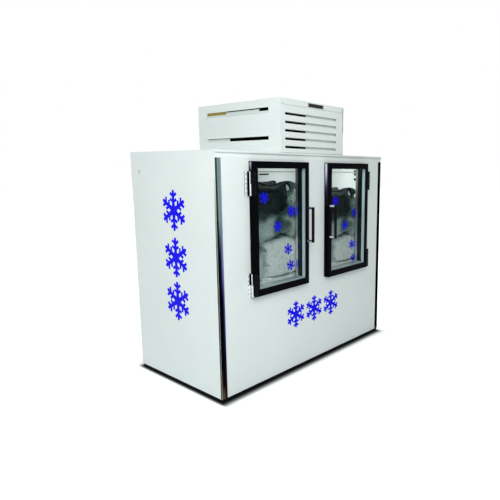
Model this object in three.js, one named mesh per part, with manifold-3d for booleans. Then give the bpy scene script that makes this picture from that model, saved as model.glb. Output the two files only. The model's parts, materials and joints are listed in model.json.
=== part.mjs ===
// Two-door ice merchandiser freezer with its refrigeration unit under a louvred hood on the roof.
// Millimetres, +Z up. The doors face -Y, and the origin lies on the floor under the cabinet's centre.
import * as THREE from "three";
import { RoundedBoxGeometry } from "three/addons/geometries/RoundedBoxGeometry.js";
import { mergeVertices } from "three/addons/utils/BufferGeometryUtils.js";
import Module from "manifold-3d";

const wasm = await Module();
wasm.setup();

// ---------------------------------------------------------------- driving dimensions

const FIT = 0.3; // gap between two pieces that touch

// Cabinet shell
const CABINET_WIDTH = 1855;
const CABINET_DEPTH = 950;
const CABINET_HEIGHT = 1625; // floor to roof panel
const SKIN = 1.2; // sheet steel outside
const LINER = 1; // sheet steel inside
const WALL = 60; // outer face to inner face of an insulated wall
const BASE_HEIGHT = 28;
const BASE_INSET = 4; // how far the base stands back under the skins
const BASE_RAIL = 70;
const TRIM_WIDTH = 44; // polished strip up each front corner
const TRIM_DEPTH = 8;
const TRIM_EDGE_RADIUS = 3;
const CAP_HEIGHT = 47; // roof cap across the front, above the front panel
const CAP_DEPTH = 24;
const CAP_LIP_HEIGHT = 13;
const CAP_LIP_REACH = 4; // how far the lip stands proud of the front
const CAP_COVE = 9; // how far the cove under the lip goes back

// Doors
const DOOR_WIDTH = 542;
const DOOR_HEIGHT = 895;
const DOOR_THICKNESS = 43;
const DOOR_HEADROOM = 63.5; // from the roof down to the door's top
const DOOR_CENTRE = 387.5; // each door's middle, from the cabinet's middle
const DOOR_STILE = 36; // face of the frame's uprights
const DOOR_TOP_RAIL = 46;
const DOOR_BOTTOM_RAIL = 47;
const DOOR_EDGE_RADIUS = 5;
const DOOR_LIP = 8; // depth of the frame in front of the glass
const GLASS_REBATE = 10; // how far the glass reaches behind the frame
const GLASS_THICKNESS = 4;
const GASKET_THICKNESS = 5;
const GASKET_INSET = 6; // from the door's edge to the gasket
const THROAT_MARGIN = 4; // the wall opening's clear size past the visible glass, each way
const THROAT_STRIP = 3; // thickness of the breaker strips that line the opening
const HANDLE_LENGTH = 258;
const HANDLE_WIDTH = 24;
const HANDLE_THICKNESS = 12;
const HANDLE_STANDOFF = 46; // clear gap between the door and the bar
const HANDLE_POST_RADIUS = 7;
const HANDLE_POST_INSET = 8;
const HANDLE_DROP = 3; // from the door's middle down to the handle's

// Hinges
const HINGE_HEIGHT = 156;
const UPPER_HINGE_INSET = 65.5; // from the door's top down to the hinge
const LOWER_HINGE_INSET = 3.5; // from the door's bottom up to the hinge
const HINGE_AXIS_GAP = 9; // from the door's edge out to the pin
const HINGE_AXIS_SET = 28; // from the cabinet's face forward to the pin
const HINGE_PIN_RADIUS = 4;
const HINGE_BARREL_RADIUS = 7.4;
const HINGE_LEAF_WIDTH = 38;
const HINGE_LEAF_THICKNESS = 4;
const STRAP_WIDTH = 18; // on the door's face
const STRAP_THICKNESS = 3;

// Hood over the refrigeration unit
const HOOD_WIDTH = 712;
const HOOD_HEIGHT = 368;
const HOOD_FRONT_SET = 3; // from the cabinet's front plane back to the hood's front
const HOOD_REAR_SET = 42; // from the cabinet's rear plane forward to the hood's rear
const HOOD_SKIN = 1.2;
const LID_FLANGE = 42;
const LID_SEAM = 1.5;
const FRONT_SLOTS = 5;
const FRONT_SLOT_HEIGHT = 18;
const FRONT_SLOT_PITCH = 56.5;
const FRONT_SLOT_FIRST = 40; // lowest slot's middle above the roof
const FRONT_SLOT_LEFT = 44; // panel left of the slots
const FRONT_SLOT_RIGHT = 94; // panel right of the slots
const VANE_DEPTH = 12;
const VANE_DROP = 3;
const VANE_THICKNESS = 3;
const SIDE_SLOT_FRONT = 118; // from the hood's front to the slots
const SIDE_SLOT_REAR = 111; // from the slots to the hood's rear
const SIDE_SLOT_HEIGHT = 24;
const UPPER_SIDE_SLOT = 287; // slot's lower edge above the roof
const LOWER_SIDE_SLOT = 90;
const SIDE_LIP_REACH = 10;
const SIDE_LIP_HEIGHT = 14;
const SIDE_LIP_THICKNESS = 2;
const REAR_SLOTS = 7;
const REAR_SLOT_WIDTH = 12;
const REAR_SLOT_HEIGHT = 220;
const REAR_SLOT_PITCH = 60;
const CORD_GLAND_RADIUS = 14;
const CORD_GLAND_LENGTH = 16;
const CORD_GLAND_BORE = 6;
const CORD_GLAND_INSET = 60; // from the hood's right side and from the roof

// Refrigeration unit in the hood
const UNIT_BASE_THICKNESS = 4;
const UNIT_MARGIN = 24; // from the hood's panels to the unit's base plate
const COIL_WIDTH = 440;
const COIL_HEIGHT = 300;
const COIL_DEPTH = 60;
const COIL_OFFSET = -75; // the coil's middle from the hood's middle
const COIL_END_PLATE = 12;
const SHROUD_DEPTH = 46;
const SHROUD_HOLE_RADIUS = 128;
const FAN_RADIUS = 118;
const FAN_HUB_RADIUS = 26;
const FAN_HUB_LENGTH = 26;
const FAN_BLADES = 5;
const FAN_CHORD = 52;
const FAN_PITCH = Math.PI / 6;
const FAN_BLADE_THICKNESS = 2;
const MOTOR_RADIUS = 42;
const MOTOR_LENGTH = 84;
const MOTOR_SHAFT_RADIUS = 5;
const MOTOR_SHAFT_LENGTH = 20;
const MOTOR_POST_WIDTH = 36;
const COMPRESSOR_RADIUS = 88;
const COMPRESSOR_HEIGHT = 215;
const COMPRESSOR_FOOT = 210;
const COMPRESSOR_FOOT_THICKNESS = 8;
const COMPRESSOR_X = 80;
const COMPRESSOR_REAR_GAP = 114; // from the foot to the base plate's rear edge
const BOX_WIDTH = 120;
const BOX_DEPTH = 170;
const BOX_HEIGHT = 170;
const BOX_X = 245;
const BOX_SET = 172; // from the hood's front to the box
const DIAL_RADIUS = 20;
const DIAL_DEPTH = 16;
const DIAL_RIDGE = 5;
const DIAL_HEIGHT = 110; // above the unit's base plate
const LINE_RADIUS = 9;
const LINE_HOLE_MARGIN = 2;
const LINE_X = 260;
const LINE_TOP = 150; // above the roof
const LINE_BEND = 40;

// Evaporator under the ceiling
const EVAPORATOR_WIDTH = 960;
const EVAPORATOR_DEPTH = 455;
const EVAPORATOR_HEIGHT = 155;
const EVAPORATOR_REAR_GAP = 20; // behind the housing, for the returning air
const EVAPORATOR_WALL = 2;
const EVAPORATOR_COIL_DEPTH = 240;
const EVAPORATOR_COIL_GAP = 120; // from the housing's front to the coil
const EVAPORATOR_COIL_SIDE = 30;
const EVAPORATOR_FAN_HOLE = 66;
const EVAPORATOR_FAN_RADIUS = 58;
const EVAPORATOR_HUB_RADIUS = 16;
const EVAPORATOR_HUB_LENGTH = 16;
const EVAPORATOR_FAN_CHORD = 28;
const EVAPORATOR_MOTOR_RADIUS = 26;
const EVAPORATOR_MOTOR_LENGTH = 44;
const EVAPORATOR_MOTOR_BRACKET = 20;
const EVAPORATOR_FAN_GAP = 12; // from the housing's front wall to the hub
const DRAIN_RADIUS = 10;
const DRAIN_BORE = 7;
const DRAIN_LENGTH = 24;

// Bags of ice stacked behind the doors
const BAG_WIDTH = 565;
const BAG_DEPTH = 330;
const BAG_ROUNDING = 60;
const BAG_FRONT_GAP = 12; // from the inner face of the front wall
const LEFT_STACK_X = -332.5;
const RIGHT_STACK_X = 442.5;
const LEFT_STACK_HEADROOM = 125; // from the ceiling down to the stack's top
const RIGHT_STACK_HEADROOM = 180;
const BAG_SPLIT = 740; // height where the upper bag lies on the lower one

// ---------------------------------------------------------------- worked-out places

const HALF_WIDTH = CABINET_WIDTH / 2;
const FRONT = -CABINET_DEPTH / 2;
const REAR = CABINET_DEPTH / 2;
const ROOF = CABINET_HEIGHT;
const SKIN_INNER = HALF_WIDTH - SKIN - FIT; // half the space between the side skins
const PANEL_HALF = SKIN_INNER - TRIM_WIDTH - FIT; // half the front panel
const INSIDE_HALF = HALF_WIDTH - WALL;
const INSIDE_FRONT = FRONT + WALL;
const INSIDE_REAR = REAR - WALL;
const INSIDE_FLOOR = BASE_HEIGHT + WALL;
const INSIDE_CEILING = ROOF - WALL;

const DOOR_BACK = FRONT - GASKET_THICKNESS;
const DOOR_FACE = DOOR_BACK - DOOR_THICKNESS;
const DOOR_TOP = ROOF - DOOR_HEADROOM;
const DOOR_BOTTOM = DOOR_TOP - DOOR_HEIGHT;
const GLASS_BOTTOM = DOOR_BOTTOM + DOOR_BOTTOM_RAIL;
const GLASS_TOP = DOOR_TOP - DOOR_TOP_RAIL;
const GLASS_HALF = DOOR_WIDTH / 2 - DOOR_STILE;
const HINGE_X = DOOR_CENTRE + DOOR_WIDTH / 2 + HINGE_AXIS_GAP;
const HINGE_Y = FRONT - HINGE_AXIS_SET;

const HOOD_HALF = HOOD_WIDTH / 2;
const HOOD_FRONT = FRONT + HOOD_FRONT_SET;
const HOOD_REAR = REAR - HOOD_REAR_SET;
const HOOD_FLOOR = ROOF + FIT;
const HOOD_TOP = ROOF + HOOD_HEIGHT;
const UNIT_FLOOR = HOOD_FLOOR + UNIT_BASE_THICKNESS + FIT; // where the unit's pieces stand
const COIL_FRONT = HOOD_FRONT + UNIT_MARGIN + FIT;
const SHROUD_FRONT = COIL_FRONT + COIL_DEPTH + FIT;
const FAN_AXIS_Z = UNIT_FLOOR + COIL_HEIGHT / 2;

const EVAPORATOR_TOP = INSIDE_CEILING - FIT;
const EVAPORATOR_FLOOR = EVAPORATOR_TOP - EVAPORATOR_HEIGHT;
const EVAPORATOR_REAR = INSIDE_REAR - EVAPORATOR_REAR_GAP;
const EVAPORATOR_FRONT = EVAPORATOR_REAR - EVAPORATOR_DEPTH;
const EVAPORATOR_COIL_TOP = EVAPORATOR_TOP - EVAPORATOR_WALL - FIT;
const EVAPORATOR_COIL_FRONT = EVAPORATOR_FRONT + EVAPORATOR_COIL_GAP;
const LINE_Y = EVAPORATOR_COIL_FRONT + EVAPORATOR_COIL_DEPTH / 2;

// ---------------------------------------------------------------- materials

function finish(color, roughness, metalness, extra = {}) {
  return new THREE.MeshStandardMaterial({ color, roughness, metalness, ...extra });
}

const WHITE_PAINT = finish(0xe9eeec, 0.35, 0.1);
const BLACK_PAINT = finish(0x17191a, 0.6, 0.1);
const POLISHED_STEEL = finish(0x8f9a9c, 0.15, 1);
const GALVANISED = finish(0xc9cfd0, 0.45, 0.8);
const FOAM = finish(0xe6d9a8, 0.9, 0);
const BLACK_PLASTIC = finish(0x101112, 0.4, 0);
const GLOSS_BLACK = finish(0x08090a, 0.15, 0.2);
const CLEAR_GLASS = finish(0xdfe9e6, 0.05, 0, { transparent: true, opacity: 0.3 });
const WHITE_PLASTIC = finish(0xe8eeea, 0.4, 0);
const SOFT_RUBBER = finish(0x18191b, 0.8, 0);
const CHROME = finish(0xc9ced2, 0.12, 1);
const COMPRESSOR_BLACK = finish(0x1c1e20, 0.5, 0.3);
const FIN_ALUMINIUM = finish(0xb4babc, 0.4, 0.9);
const COPPER = finish(0xb8693d, 0.3, 1);
const GREY_PLASTIC = finish(0x8d9396, 0.5, 0);
const ICE_BAG = finish(0xc4cdd0, 0.3, 0, { transparent: true, opacity: 0.8 });

// ---------------------------------------------------------------- shape helpers

// A closed geometry as a solid that can be cut and joined.
function toSolid(geometry) {
  const bare = geometry.clone();
  bare.deleteAttribute("normal");
  bare.deleteAttribute("uv");
  const merged = mergeVertices(bare, 1e-4);
  const mesh = new wasm.Mesh({
    numProp: 3,
    vertProperties: new Float32Array(merged.attributes.position.array),
    triVerts: new Uint32Array(merged.index.array),
  });
  return new wasm.Manifold(mesh);
}

function toGeometry(solid) {
  const mesh = solid.getMesh();
  const geometry = new THREE.BufferGeometry();
  geometry.setAttribute("position", new THREE.BufferAttribute(mesh.vertProperties, 3));
  geometry.setIndex(new THREE.BufferAttribute(mesh.triVerts, 1));
  geometry.computeVertexNormals();
  return geometry;
}

function cut(base, ...tools) {
  let solid = toSolid(base);
  for (const tool of tools) solid = solid.subtract(toSolid(tool));
  return toGeometry(solid);
}

function join(...shapes) {
  let solid = toSolid(shapes[0]);
  for (const shape of shapes.slice(1)) solid = solid.add(toSolid(shape));
  return toGeometry(solid);
}

// A box from its lowest to its highest value along each axis, in either order.
function block(xs, ys, zs) {
  const sizes = [xs, ys, zs].map(([a, b]) => Math.abs(b - a));
  const middles = [xs, ys, zs].map(([a, b]) => (a + b) / 2);
  return new THREE.BoxGeometry(...sizes).translate(...middles);
}

// A round bar along one axis. The centre gives the two other coordinates, in X, Y, Z order.
function rod(axis, radius, [from, to], [first, second], sides = 24) {
  const bar = new THREE.CylinderGeometry(radius, radius, Math.abs(to - from), sides);
  const middle = (from + to) / 2;
  if (axis === "x") return bar.rotateZ(Math.PI / 2).translate(middle, first, second);
  if (axis === "y") return bar.translate(first, middle, second);
  return bar.rotateX(Math.PI / 2).translate(first, second, middle);
}

// A flat outline drawn in two axes and pushed along the third.
function prism(along, outline, [from, to], curveSegments = 4) {
  const shape = outline instanceof THREE.Shape ? outline : new THREE.Shape(outline);
  const depth = Math.abs(to - from);
  const solid = new THREE.ExtrudeGeometry(shape, { depth, bevelEnabled: false, curveSegments });
  solid.translate(0, 0, Math.min(from, to));
  if (along === "z") return solid;
  // along "x": the outline's own axes are Y and Z; along "y": they are Z and X
  const turn = new THREE.Matrix4();
  const [x, y, z] = [new THREE.Vector3(1, 0, 0), new THREE.Vector3(0, 1, 0), new THREE.Vector3(0, 0, 1)];
  if (along === "x") turn.makeBasis(y, z, x);
  else turn.makeBasis(z, x, y);
  return solid.applyMatrix4(turn);
}

function points(list) {
  return list.map(([x, y]) => new THREE.Vector2(x, y));
}

// A rectangle with round corners, as an outline.
function roundedOutline([x0, x1], [y0, y1], radius) {
  const shape = new THREE.Shape();
  shape.moveTo(x0 + radius, y0);
  shape.lineTo(x1 - radius, y0);
  shape.absarc(x1 - radius, y0 + radius, radius, -Math.PI / 2, 0);
  shape.lineTo(x1, y1 - radius);
  shape.absarc(x1 - radius, y1 - radius, radius, 0, Math.PI / 2);
  shape.lineTo(x0 + radius, y1);
  shape.absarc(x0 + radius, y1 - radius, radius, Math.PI / 2, Math.PI);
  shape.lineTo(x0, y0 + radius);
  shape.absarc(x0 + radius, y0 + radius, radius, Math.PI, Math.PI * 1.5);
  return shape;
}

function piece(parent, name, geometry, material) {
  const mesh = new THREE.Mesh(geometry, material.clone());
  mesh.name = name;
  parent.add(mesh);
  return mesh;
}

const SIDES = [
  ["left", -1],
  ["right", 1],
];

// The clear opening through the wall behind one door, grown by a margin all round.
function throat(side, grow, depths) {
  const half = GLASS_HALF + THROAT_MARGIN + grow;
  const middle = side * DOOR_CENTRE;
  const low = GLASS_BOTTOM - THROAT_MARGIN - grow;
  const high = GLASS_TOP + THROAT_MARGIN + grow;
  return block([middle - half, middle + half], depths, [low, high]);
}

// The hole for the suction line, through whatever lies between two heights.
function lineHole(heights) {
  return rod("z", LINE_RADIUS + LINE_HOLE_MARGIN, heights, [LINE_X, LINE_Y]);
}

// ---------------------------------------------------------------- cabinet

function buildBase(cabinet) {
  const halfWidth = HALF_WIDTH - BASE_INSET;
  const front = FRONT + BASE_INSET;
  const rear = REAR - BASE_INSET;
  const top = BASE_HEIGHT - FIT;
  const bays = SIDES.map(([, side]) =>
    block(
      [(side * BASE_RAIL) / 2, side * (halfWidth - BASE_RAIL)],
      [front + BASE_RAIL, rear - BASE_RAIL],
      [-1, top + 1],
    ),
  );
  const slab = block([-halfWidth, halfWidth], [front, rear], [0, top]);
  piece(cabinet, "base_frame", cut(slab, ...bays), BLACK_PAINT);
}

function buildSkins(cabinet) {
  const heights = [BASE_HEIGHT, ROOF];
  for (const [word, side] of SIDES) {
    const plate = block([side * (HALF_WIDTH - SKIN), side * HALF_WIDTH], [FRONT, REAR], heights);
    piece(cabinet, `${word}_side_panel`, plate, WHITE_PAINT);
  }

  const rearPlate = block([-SKIN_INNER, SKIN_INNER], [REAR - SKIN, REAR], heights);
  piece(cabinet, "rear_panel", rearPlate, GALVANISED);

  const bottomPlate = block(
    [-SKIN_INNER, SKIN_INNER],
    [FRONT + TRIM_DEPTH + FIT, REAR - SKIN - FIT],
    [BASE_HEIGHT, BASE_HEIGHT + SKIN],
  );
  piece(cabinet, "bottom_panel", bottomPlate, GALVANISED);

  const roofPlate = block(
    [-SKIN_INNER, SKIN_INNER],
    [FRONT + CAP_DEPTH + FIT, REAR - SKIN - FIT],
    [ROOF - SKIN, ROOF],
  );
  piece(cabinet, "top_panel", cut(roofPlate, lineHole([ROOF - WALL, ROOF + WALL])), WHITE_PAINT);

  const frontPlate = block(
    [-PANEL_HALF, PANEL_HALF],
    [FRONT, FRONT + SKIN],
    [BASE_HEIGHT, ROOF - CAP_HEIGHT - FIT],
  );
  const openings = SIDES.map(([, side]) => throat(side, THROAT_STRIP + FIT, [FRONT - 1, FRONT + 2 * SKIN]));
  piece(cabinet, "front_panel", cut(frontPlate, ...openings), WHITE_PAINT);
}

function buildTrim(cabinet) {
  for (const [word, side] of SIDES) {
    const inner = side * (SKIN_INNER - TRIM_WIDTH);
    const outer = side * SKIN_INNER;
    const across = [Math.min(inner, outer), Math.max(inner, outer)];
    const outline = roundedOutline(across, [FRONT, FRONT + TRIM_DEPTH], TRIM_EDGE_RADIUS);
    const strip = prism("z", outline, [BASE_HEIGHT, ROOF - CAP_HEIGHT - FIT]);
    piece(cabinet, `${word}_corner_trim`, strip, POLISHED_STEEL);
  }

  // The cap ends the front at the top: a lip that stands proud, over a cove that leans back.
  const lipFoot = ROOF - CAP_LIP_HEIGHT;
  const outline = points([
    [FRONT, ROOF - CAP_HEIGHT],
    [FRONT + CAP_DEPTH, ROOF - CAP_HEIGHT],
    [FRONT + CAP_DEPTH, ROOF],
    [FRONT, ROOF],
    [FRONT - CAP_LIP_REACH, ROOF - CAP_LIP_REACH],
    [FRONT - CAP_LIP_REACH, lipFoot],
    [FRONT + CAP_COVE, lipFoot],
    [FRONT + CAP_COVE, lipFoot - CAP_LIP_REACH],
  ]);
  piece(cabinet, "top_front_cap", prism("x", outline, [-SKIN_INNER, SKIN_INNER]), WHITE_PAINT);
}

function buildInsulation(cabinet) {
  const foam = block(
    [-SKIN_INNER, SKIN_INNER],
    [FRONT + SKIN + FIT, REAR - SKIN - FIT],
    [BASE_HEIGHT + SKIN + FIT, ROOF - SKIN - FIT],
  );
  const inside = block(
    [-INSIDE_HALF - LINER - FIT, INSIDE_HALF + LINER + FIT],
    [INSIDE_FRONT - LINER - FIT, INSIDE_REAR + LINER + FIT],
    [INSIDE_FLOOR - LINER - FIT, INSIDE_CEILING + LINER + FIT],
  );
  const capSeat = block(
    [-HALF_WIDTH, HALF_WIDTH],
    [FRONT, FRONT + CAP_DEPTH + FIT],
    [ROOF - CAP_HEIGHT - FIT, ROOF],
  );
  const trimSeats = SIDES.map(([, side]) =>
    block([side * PANEL_HALF, side * HALF_WIDTH], [FRONT, FRONT + TRIM_DEPTH + FIT], [0, ROOF]),
  );
  const openings = SIDES.map(([, side]) => throat(side, THROAT_STRIP + FIT, [FRONT, INSIDE_FRONT + 1]));
  const hole = lineHole([INSIDE_CEILING, ROOF]);
  piece(cabinet, "insulation", cut(foam, inside, capSeat, ...trimSeats, ...openings, hole), FOAM);
}

function buildLiner(cabinet) {
  const across = [-INSIDE_HALF - LINER, INSIDE_HALF + LINER];
  const deep = [INSIDE_FRONT - LINER, INSIDE_REAR + LINER];
  const wallHeights = [INSIDE_FLOOR + FIT, INSIDE_CEILING - FIT];

  const floor = block(across, deep, [INSIDE_FLOOR - LINER, INSIDE_FLOOR]);
  piece(cabinet, "liner_floor", floor, GALVANISED);
  const ceiling = block(across, deep, [INSIDE_CEILING, INSIDE_CEILING + LINER]);
  piece(cabinet, "liner_ceiling", cut(ceiling, lineHole([INSIDE_CEILING - 1, ROOF])), WHITE_PAINT);

  for (const [word, side] of SIDES) {
    const plate = block(
      [side * INSIDE_HALF, side * (INSIDE_HALF + LINER)],
      [INSIDE_FRONT + FIT, INSIDE_REAR - FIT],
      wallHeights,
    );
    piece(cabinet, `liner_${word}`, plate, WHITE_PAINT);
  }
  const rearPlate = block(across, [INSIDE_REAR, INSIDE_REAR + LINER], wallHeights);
  piece(cabinet, "liner_rear", rearPlate, WHITE_PAINT);

  const frontPlate = block(across, [INSIDE_FRONT - LINER, INSIDE_FRONT], wallHeights);
  const cutDepths = [INSIDE_FRONT - 2 * LINER, INSIDE_FRONT + LINER];
  const openings = SIDES.map(([, side]) => throat(side, THROAT_STRIP + FIT, cutDepths));
  piece(cabinet, "liner_front", cut(frontPlate, ...openings), WHITE_PAINT);

  for (const [word, side] of SIDES) {
    const outside = throat(side, THROAT_STRIP, [FRONT, INSIDE_FRONT]);
    const clear = throat(side, 0, [FRONT - 1, INSIDE_FRONT + 1]);
    piece(cabinet, `${word}_breaker_frame`, cut(outside, clear), BLACK_PLASTIC);
  }
}

// ---------------------------------------------------------------- hinges

// The fixed half: a leaf on the cabinet's face, an arm, a lower barrel and the pin above it.
function hingeBase(side, bottom) {
  const middle = bottom + HINGE_HEIGHT / 2;
  const leafInner = HINGE_X - HINGE_BARREL_RADIUS;
  const leafFace = FRONT - FIT - HINGE_LEAF_THICKNESS;
  const leaf = block(
    [side * leafInner, side * (leafInner + HINGE_LEAF_WIDTH)],
    [leafFace, FRONT - FIT],
    [bottom, bottom + HINGE_HEIGHT],
  );
  const arm = block(
    [side * leafInner, side * (HINGE_X + HINGE_BARREL_RADIUS)],
    [HINGE_Y, leafFace + 1],
    [bottom, middle],
  );
  const axis = [side * HINGE_X, HINGE_Y];
  const barrel = rod("z", HINGE_BARREL_RADIUS, [bottom, middle], axis);
  const pin = rod("z", HINGE_PIN_RADIUS, [middle - 1, bottom + HINGE_HEIGHT], axis, 16);
  return join(leaf, arm, barrel, pin);
}

// The moving half: a strap on the door's face that reaches out to its own barrel on the pin.
function hingeStrap(side, bottom) {
  const low = bottom + HINGE_HEIGHT / 2 + FIT;
  const high = bottom + HINGE_HEIGHT - FIT;
  const strapBack = DOOR_FACE - FIT;
  const strapFace = strapBack - STRAP_THICKNESS;
  const doorEdge = HINGE_X - HINGE_AXIS_GAP;
  const plate = block(
    [side * (doorEdge - STRAP_WIDTH), side * (HINGE_X + HINGE_BARREL_RADIUS)],
    [strapFace, strapBack],
    [bottom, high],
  );
  const web = block(
    [side * (HINGE_X - HINGE_BARREL_RADIUS), side * (HINGE_X + HINGE_BARREL_RADIUS)],
    [strapBack - 1, HINGE_Y],
    [low, high],
  );
  const axis = [side * HINGE_X, HINGE_Y];
  const barrel = rod("z", HINGE_BARREL_RADIUS, [low, high], axis);
  const bore = rod("z", HINGE_PIN_RADIUS + 2 * FIT, [low - 1, high + 1], axis);
  const clearOfBase = rod("z", HINGE_BARREL_RADIUS + 1, [bottom - 1, low], axis);
  return cut(join(plate, web, barrel), bore, clearOfBase);
}

function buildHinges(cabinet, door, word, side) {
  const places = [
    ["upper", DOOR_TOP - UPPER_HINGE_INSET - HINGE_HEIGHT],
    ["lower", DOOR_BOTTOM + LOWER_HINGE_INSET],
  ];
  for (const [level, bottom] of places) {
    piece(cabinet, `${word}_${level}_hinge_base`, hingeBase(side, bottom), CHROME);
    piece(door, `${word}_${level}_hinge_strap`, hingeStrap(side, bottom), CHROME);
  }
}

// ---------------------------------------------------------------- doors

function buildDoor(door, word, side) {
  const middle = side * DOOR_CENTRE;
  const across = (half) => [middle - half, middle + half];
  const glassHeights = (grow) => [GLASS_BOTTOM - grow, GLASS_TOP + grow];

  // Frame: round front edges, a window, and a rebate behind the window for the glazing.
  const outline = roundedOutline(
    across(DOOR_WIDTH / 2),
    [DOOR_FACE, DOOR_BACK + DOOR_EDGE_RADIUS],
    DOOR_EDGE_RADIUS,
  );
  const rounded = prism("z", outline, [DOOR_BOTTOM, DOOR_TOP]);
  const behind = block(across(DOOR_WIDTH), [DOOR_BACK, FRONT + WALL], [0, ROOF]);
  const window = block(across(GLASS_HALF), [DOOR_FACE - 1, FRONT], glassHeights(0));
  const rebate = block(
    across(GLASS_HALF + GLASS_REBATE),
    [DOOR_FACE + DOOR_LIP, FRONT],
    glassHeights(GLASS_REBATE),
  );
  piece(door, `${word}_door_frame`, cut(rounded, behind, window, rebate), GLOSS_BLACK);

  // Glazing: two panes held apart by a spacer, filling the rebate from front to back.
  const paneHalf = GLASS_HALF + GLASS_REBATE - FIT;
  const paneHeights = glassHeights(GLASS_REBATE - FIT);
  const outerFront = DOOR_FACE + DOOR_LIP + FIT;
  const outerBack = outerFront + GLASS_THICKNESS;
  const innerBack = DOOR_BACK - FIT;
  const innerFront = innerBack - GLASS_THICKNESS;
  const outerPane = block(across(paneHalf), [outerFront, outerBack], paneHeights);
  piece(door, `${word}_outer_glass`, outerPane, CLEAR_GLASS);
  const innerPane = block(across(paneHalf), [innerFront, innerBack], paneHeights);
  piece(door, `${word}_inner_glass`, innerPane, CLEAR_GLASS);
  const spacer = cut(
    block(across(paneHalf), [outerBack + FIT, innerFront - FIT], paneHeights),
    block(across(GLASS_HALF), [outerBack, innerFront], glassHeights(0)),
  );
  piece(door, `${word}_glass_spacer`, spacer, WHITE_PLASTIC);

  // Gasket: a soft ring that overlaps the glazing's edge and meets the cabinet's face.
  const gasketHalf = DOOR_WIDTH / 2 - GASKET_INSET;
  const gasketDepths = [DOOR_BACK + FIT, FRONT - FIT];
  const ring = block(across(gasketHalf), gasketDepths, [DOOR_BOTTOM + GASKET_INSET, DOOR_TOP - GASKET_INSET]);
  const hole = block(across(GLASS_HALF + THROAT_MARGIN), [DOOR_BACK, FRONT], glassHeights(THROAT_MARGIN));
  piece(door, `${word}_door_gasket`, cut(ring, hole), SOFT_RUBBER);

  // Handle: a flat bar on two posts, on the upright away from the hinges.
  const handleX = middle - side * (GLASS_HALF + DOOR_STILE / 2);
  const barBack = DOOR_FACE - HANDLE_STANDOFF;
  const handleMiddle = (DOOR_BOTTOM + DOOR_TOP) / 2 - HANDLE_DROP;
  const low = handleMiddle - HANDLE_LENGTH / 2;
  const high = handleMiddle + HANDLE_LENGTH / 2;
  const barOutline = roundedOutline(
    [handleX - HANDLE_WIDTH / 2, handleX + HANDLE_WIDTH / 2],
    [barBack - HANDLE_THICKNESS, barBack],
    HANDLE_THICKNESS / 3,
  );
  const bar = prism("z", barOutline, [low, high]);
  const posts = [low + HANDLE_POST_INSET, high - HANDLE_POST_INSET].map((height) =>
    rod("y", HANDLE_POST_RADIUS, [barBack - 1, DOOR_FACE - FIT], [handleX, height], 16),
  );
  piece(door, `${word}_door_handle`, join(bar, ...posts), BLACK_PLASTIC);
}

// ---------------------------------------------------------------- hood

// One long louvre in a hood side: a slot, and a lip that leans out up to one of the slot's edges.
function sideLouvre(side, slotLow, lipUp) {
  const run = [HOOD_FRONT + SIDE_SLOT_FRONT, HOOD_REAR - SIDE_SLOT_REAR];
  const slotHigh = slotLow + SIDE_SLOT_HEIGHT;
  const slot = block([side * (HOOD_HALF - 2 * HOOD_SKIN), side * (HOOD_HALF + 1)], run, [slotLow, slotHigh]);
  const lean = lipUp ? 1 : -1;
  const tip = lipUp ? slotLow : slotHigh;
  const root = tip - lean * SIDE_LIP_HEIGHT;
  const inner = side * (HOOD_HALF - HOOD_SKIN / 2);
  const outer = side * (HOOD_HALF + SIDE_LIP_REACH);
  // prism "y" takes its outline as Z, then X
  const lip = prism(
    "y",
    points([
      [root - lean * SIDE_LIP_THICKNESS, inner],
      [tip - lean * SIDE_LIP_THICKNESS, outer],
      [tip, outer],
      [root, inner],
    ]),
    run,
  );
  return { slot, lip };
}

function buildHoodSides(hood) {
  for (const [word, side] of SIDES) {
    const plate = block(
      [side * (HOOD_HALF - HOOD_SKIN), side * HOOD_HALF],
      [HOOD_FRONT, HOOD_REAR],
      [HOOD_FLOOR, HOOD_TOP - HOOD_SKIN - FIT],
    );
    const upper = sideLouvre(side, ROOF + UPPER_SIDE_SLOT, true);
    const lower = sideLouvre(side, ROOF + LOWER_SIDE_SLOT, false);
    const slotted = cut(plate, upper.slot, lower.slot);
    piece(hood, `hood_${word}_panel`, join(slotted, upper.lip, lower.lip), WHITE_PAINT);
  }
}

function buildHoodFront(hood) {
  const half = HOOD_HALF - HOOD_SKIN - FIT;
  const plateBack = HOOD_FRONT + HOOD_SKIN;
  const run = [-HOOD_HALF + FRONT_SLOT_LEFT, HOOD_HALF - FRONT_SLOT_RIGHT];
  const slots = [];
  const vanes = [];
  for (let i = 0; i < FRONT_SLOTS; i++) {
    const middle = ROOF + FRONT_SLOT_FIRST + i * FRONT_SLOT_PITCH;
    const top = middle + FRONT_SLOT_HEIGHT / 2;
    const heights = [middle - FRONT_SLOT_HEIGHT / 2, top];
    slots.push(block(run, [HOOD_FRONT - 1, plateBack + 1], heights));
    // Each slot's metal is folded in and down behind it, so that rain runs off.
    const outline = points([
      [plateBack - HOOD_SKIN / 2, top],
      [plateBack + VANE_DEPTH, top - VANE_DROP],
      [plateBack + VANE_DEPTH, top - VANE_DROP + VANE_THICKNESS],
      [plateBack - HOOD_SKIN / 2, top + VANE_THICKNESS],
    ]);
    vanes.push(prism("x", outline, run));
  }
  const plate = block([-half, half], [HOOD_FRONT, plateBack], [HOOD_FLOOR, HOOD_TOP - LID_FLANGE - LID_SEAM]);
  piece(hood, "hood_front_grille", join(cut(plate, ...slots), ...vanes), WHITE_PAINT);
}

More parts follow.
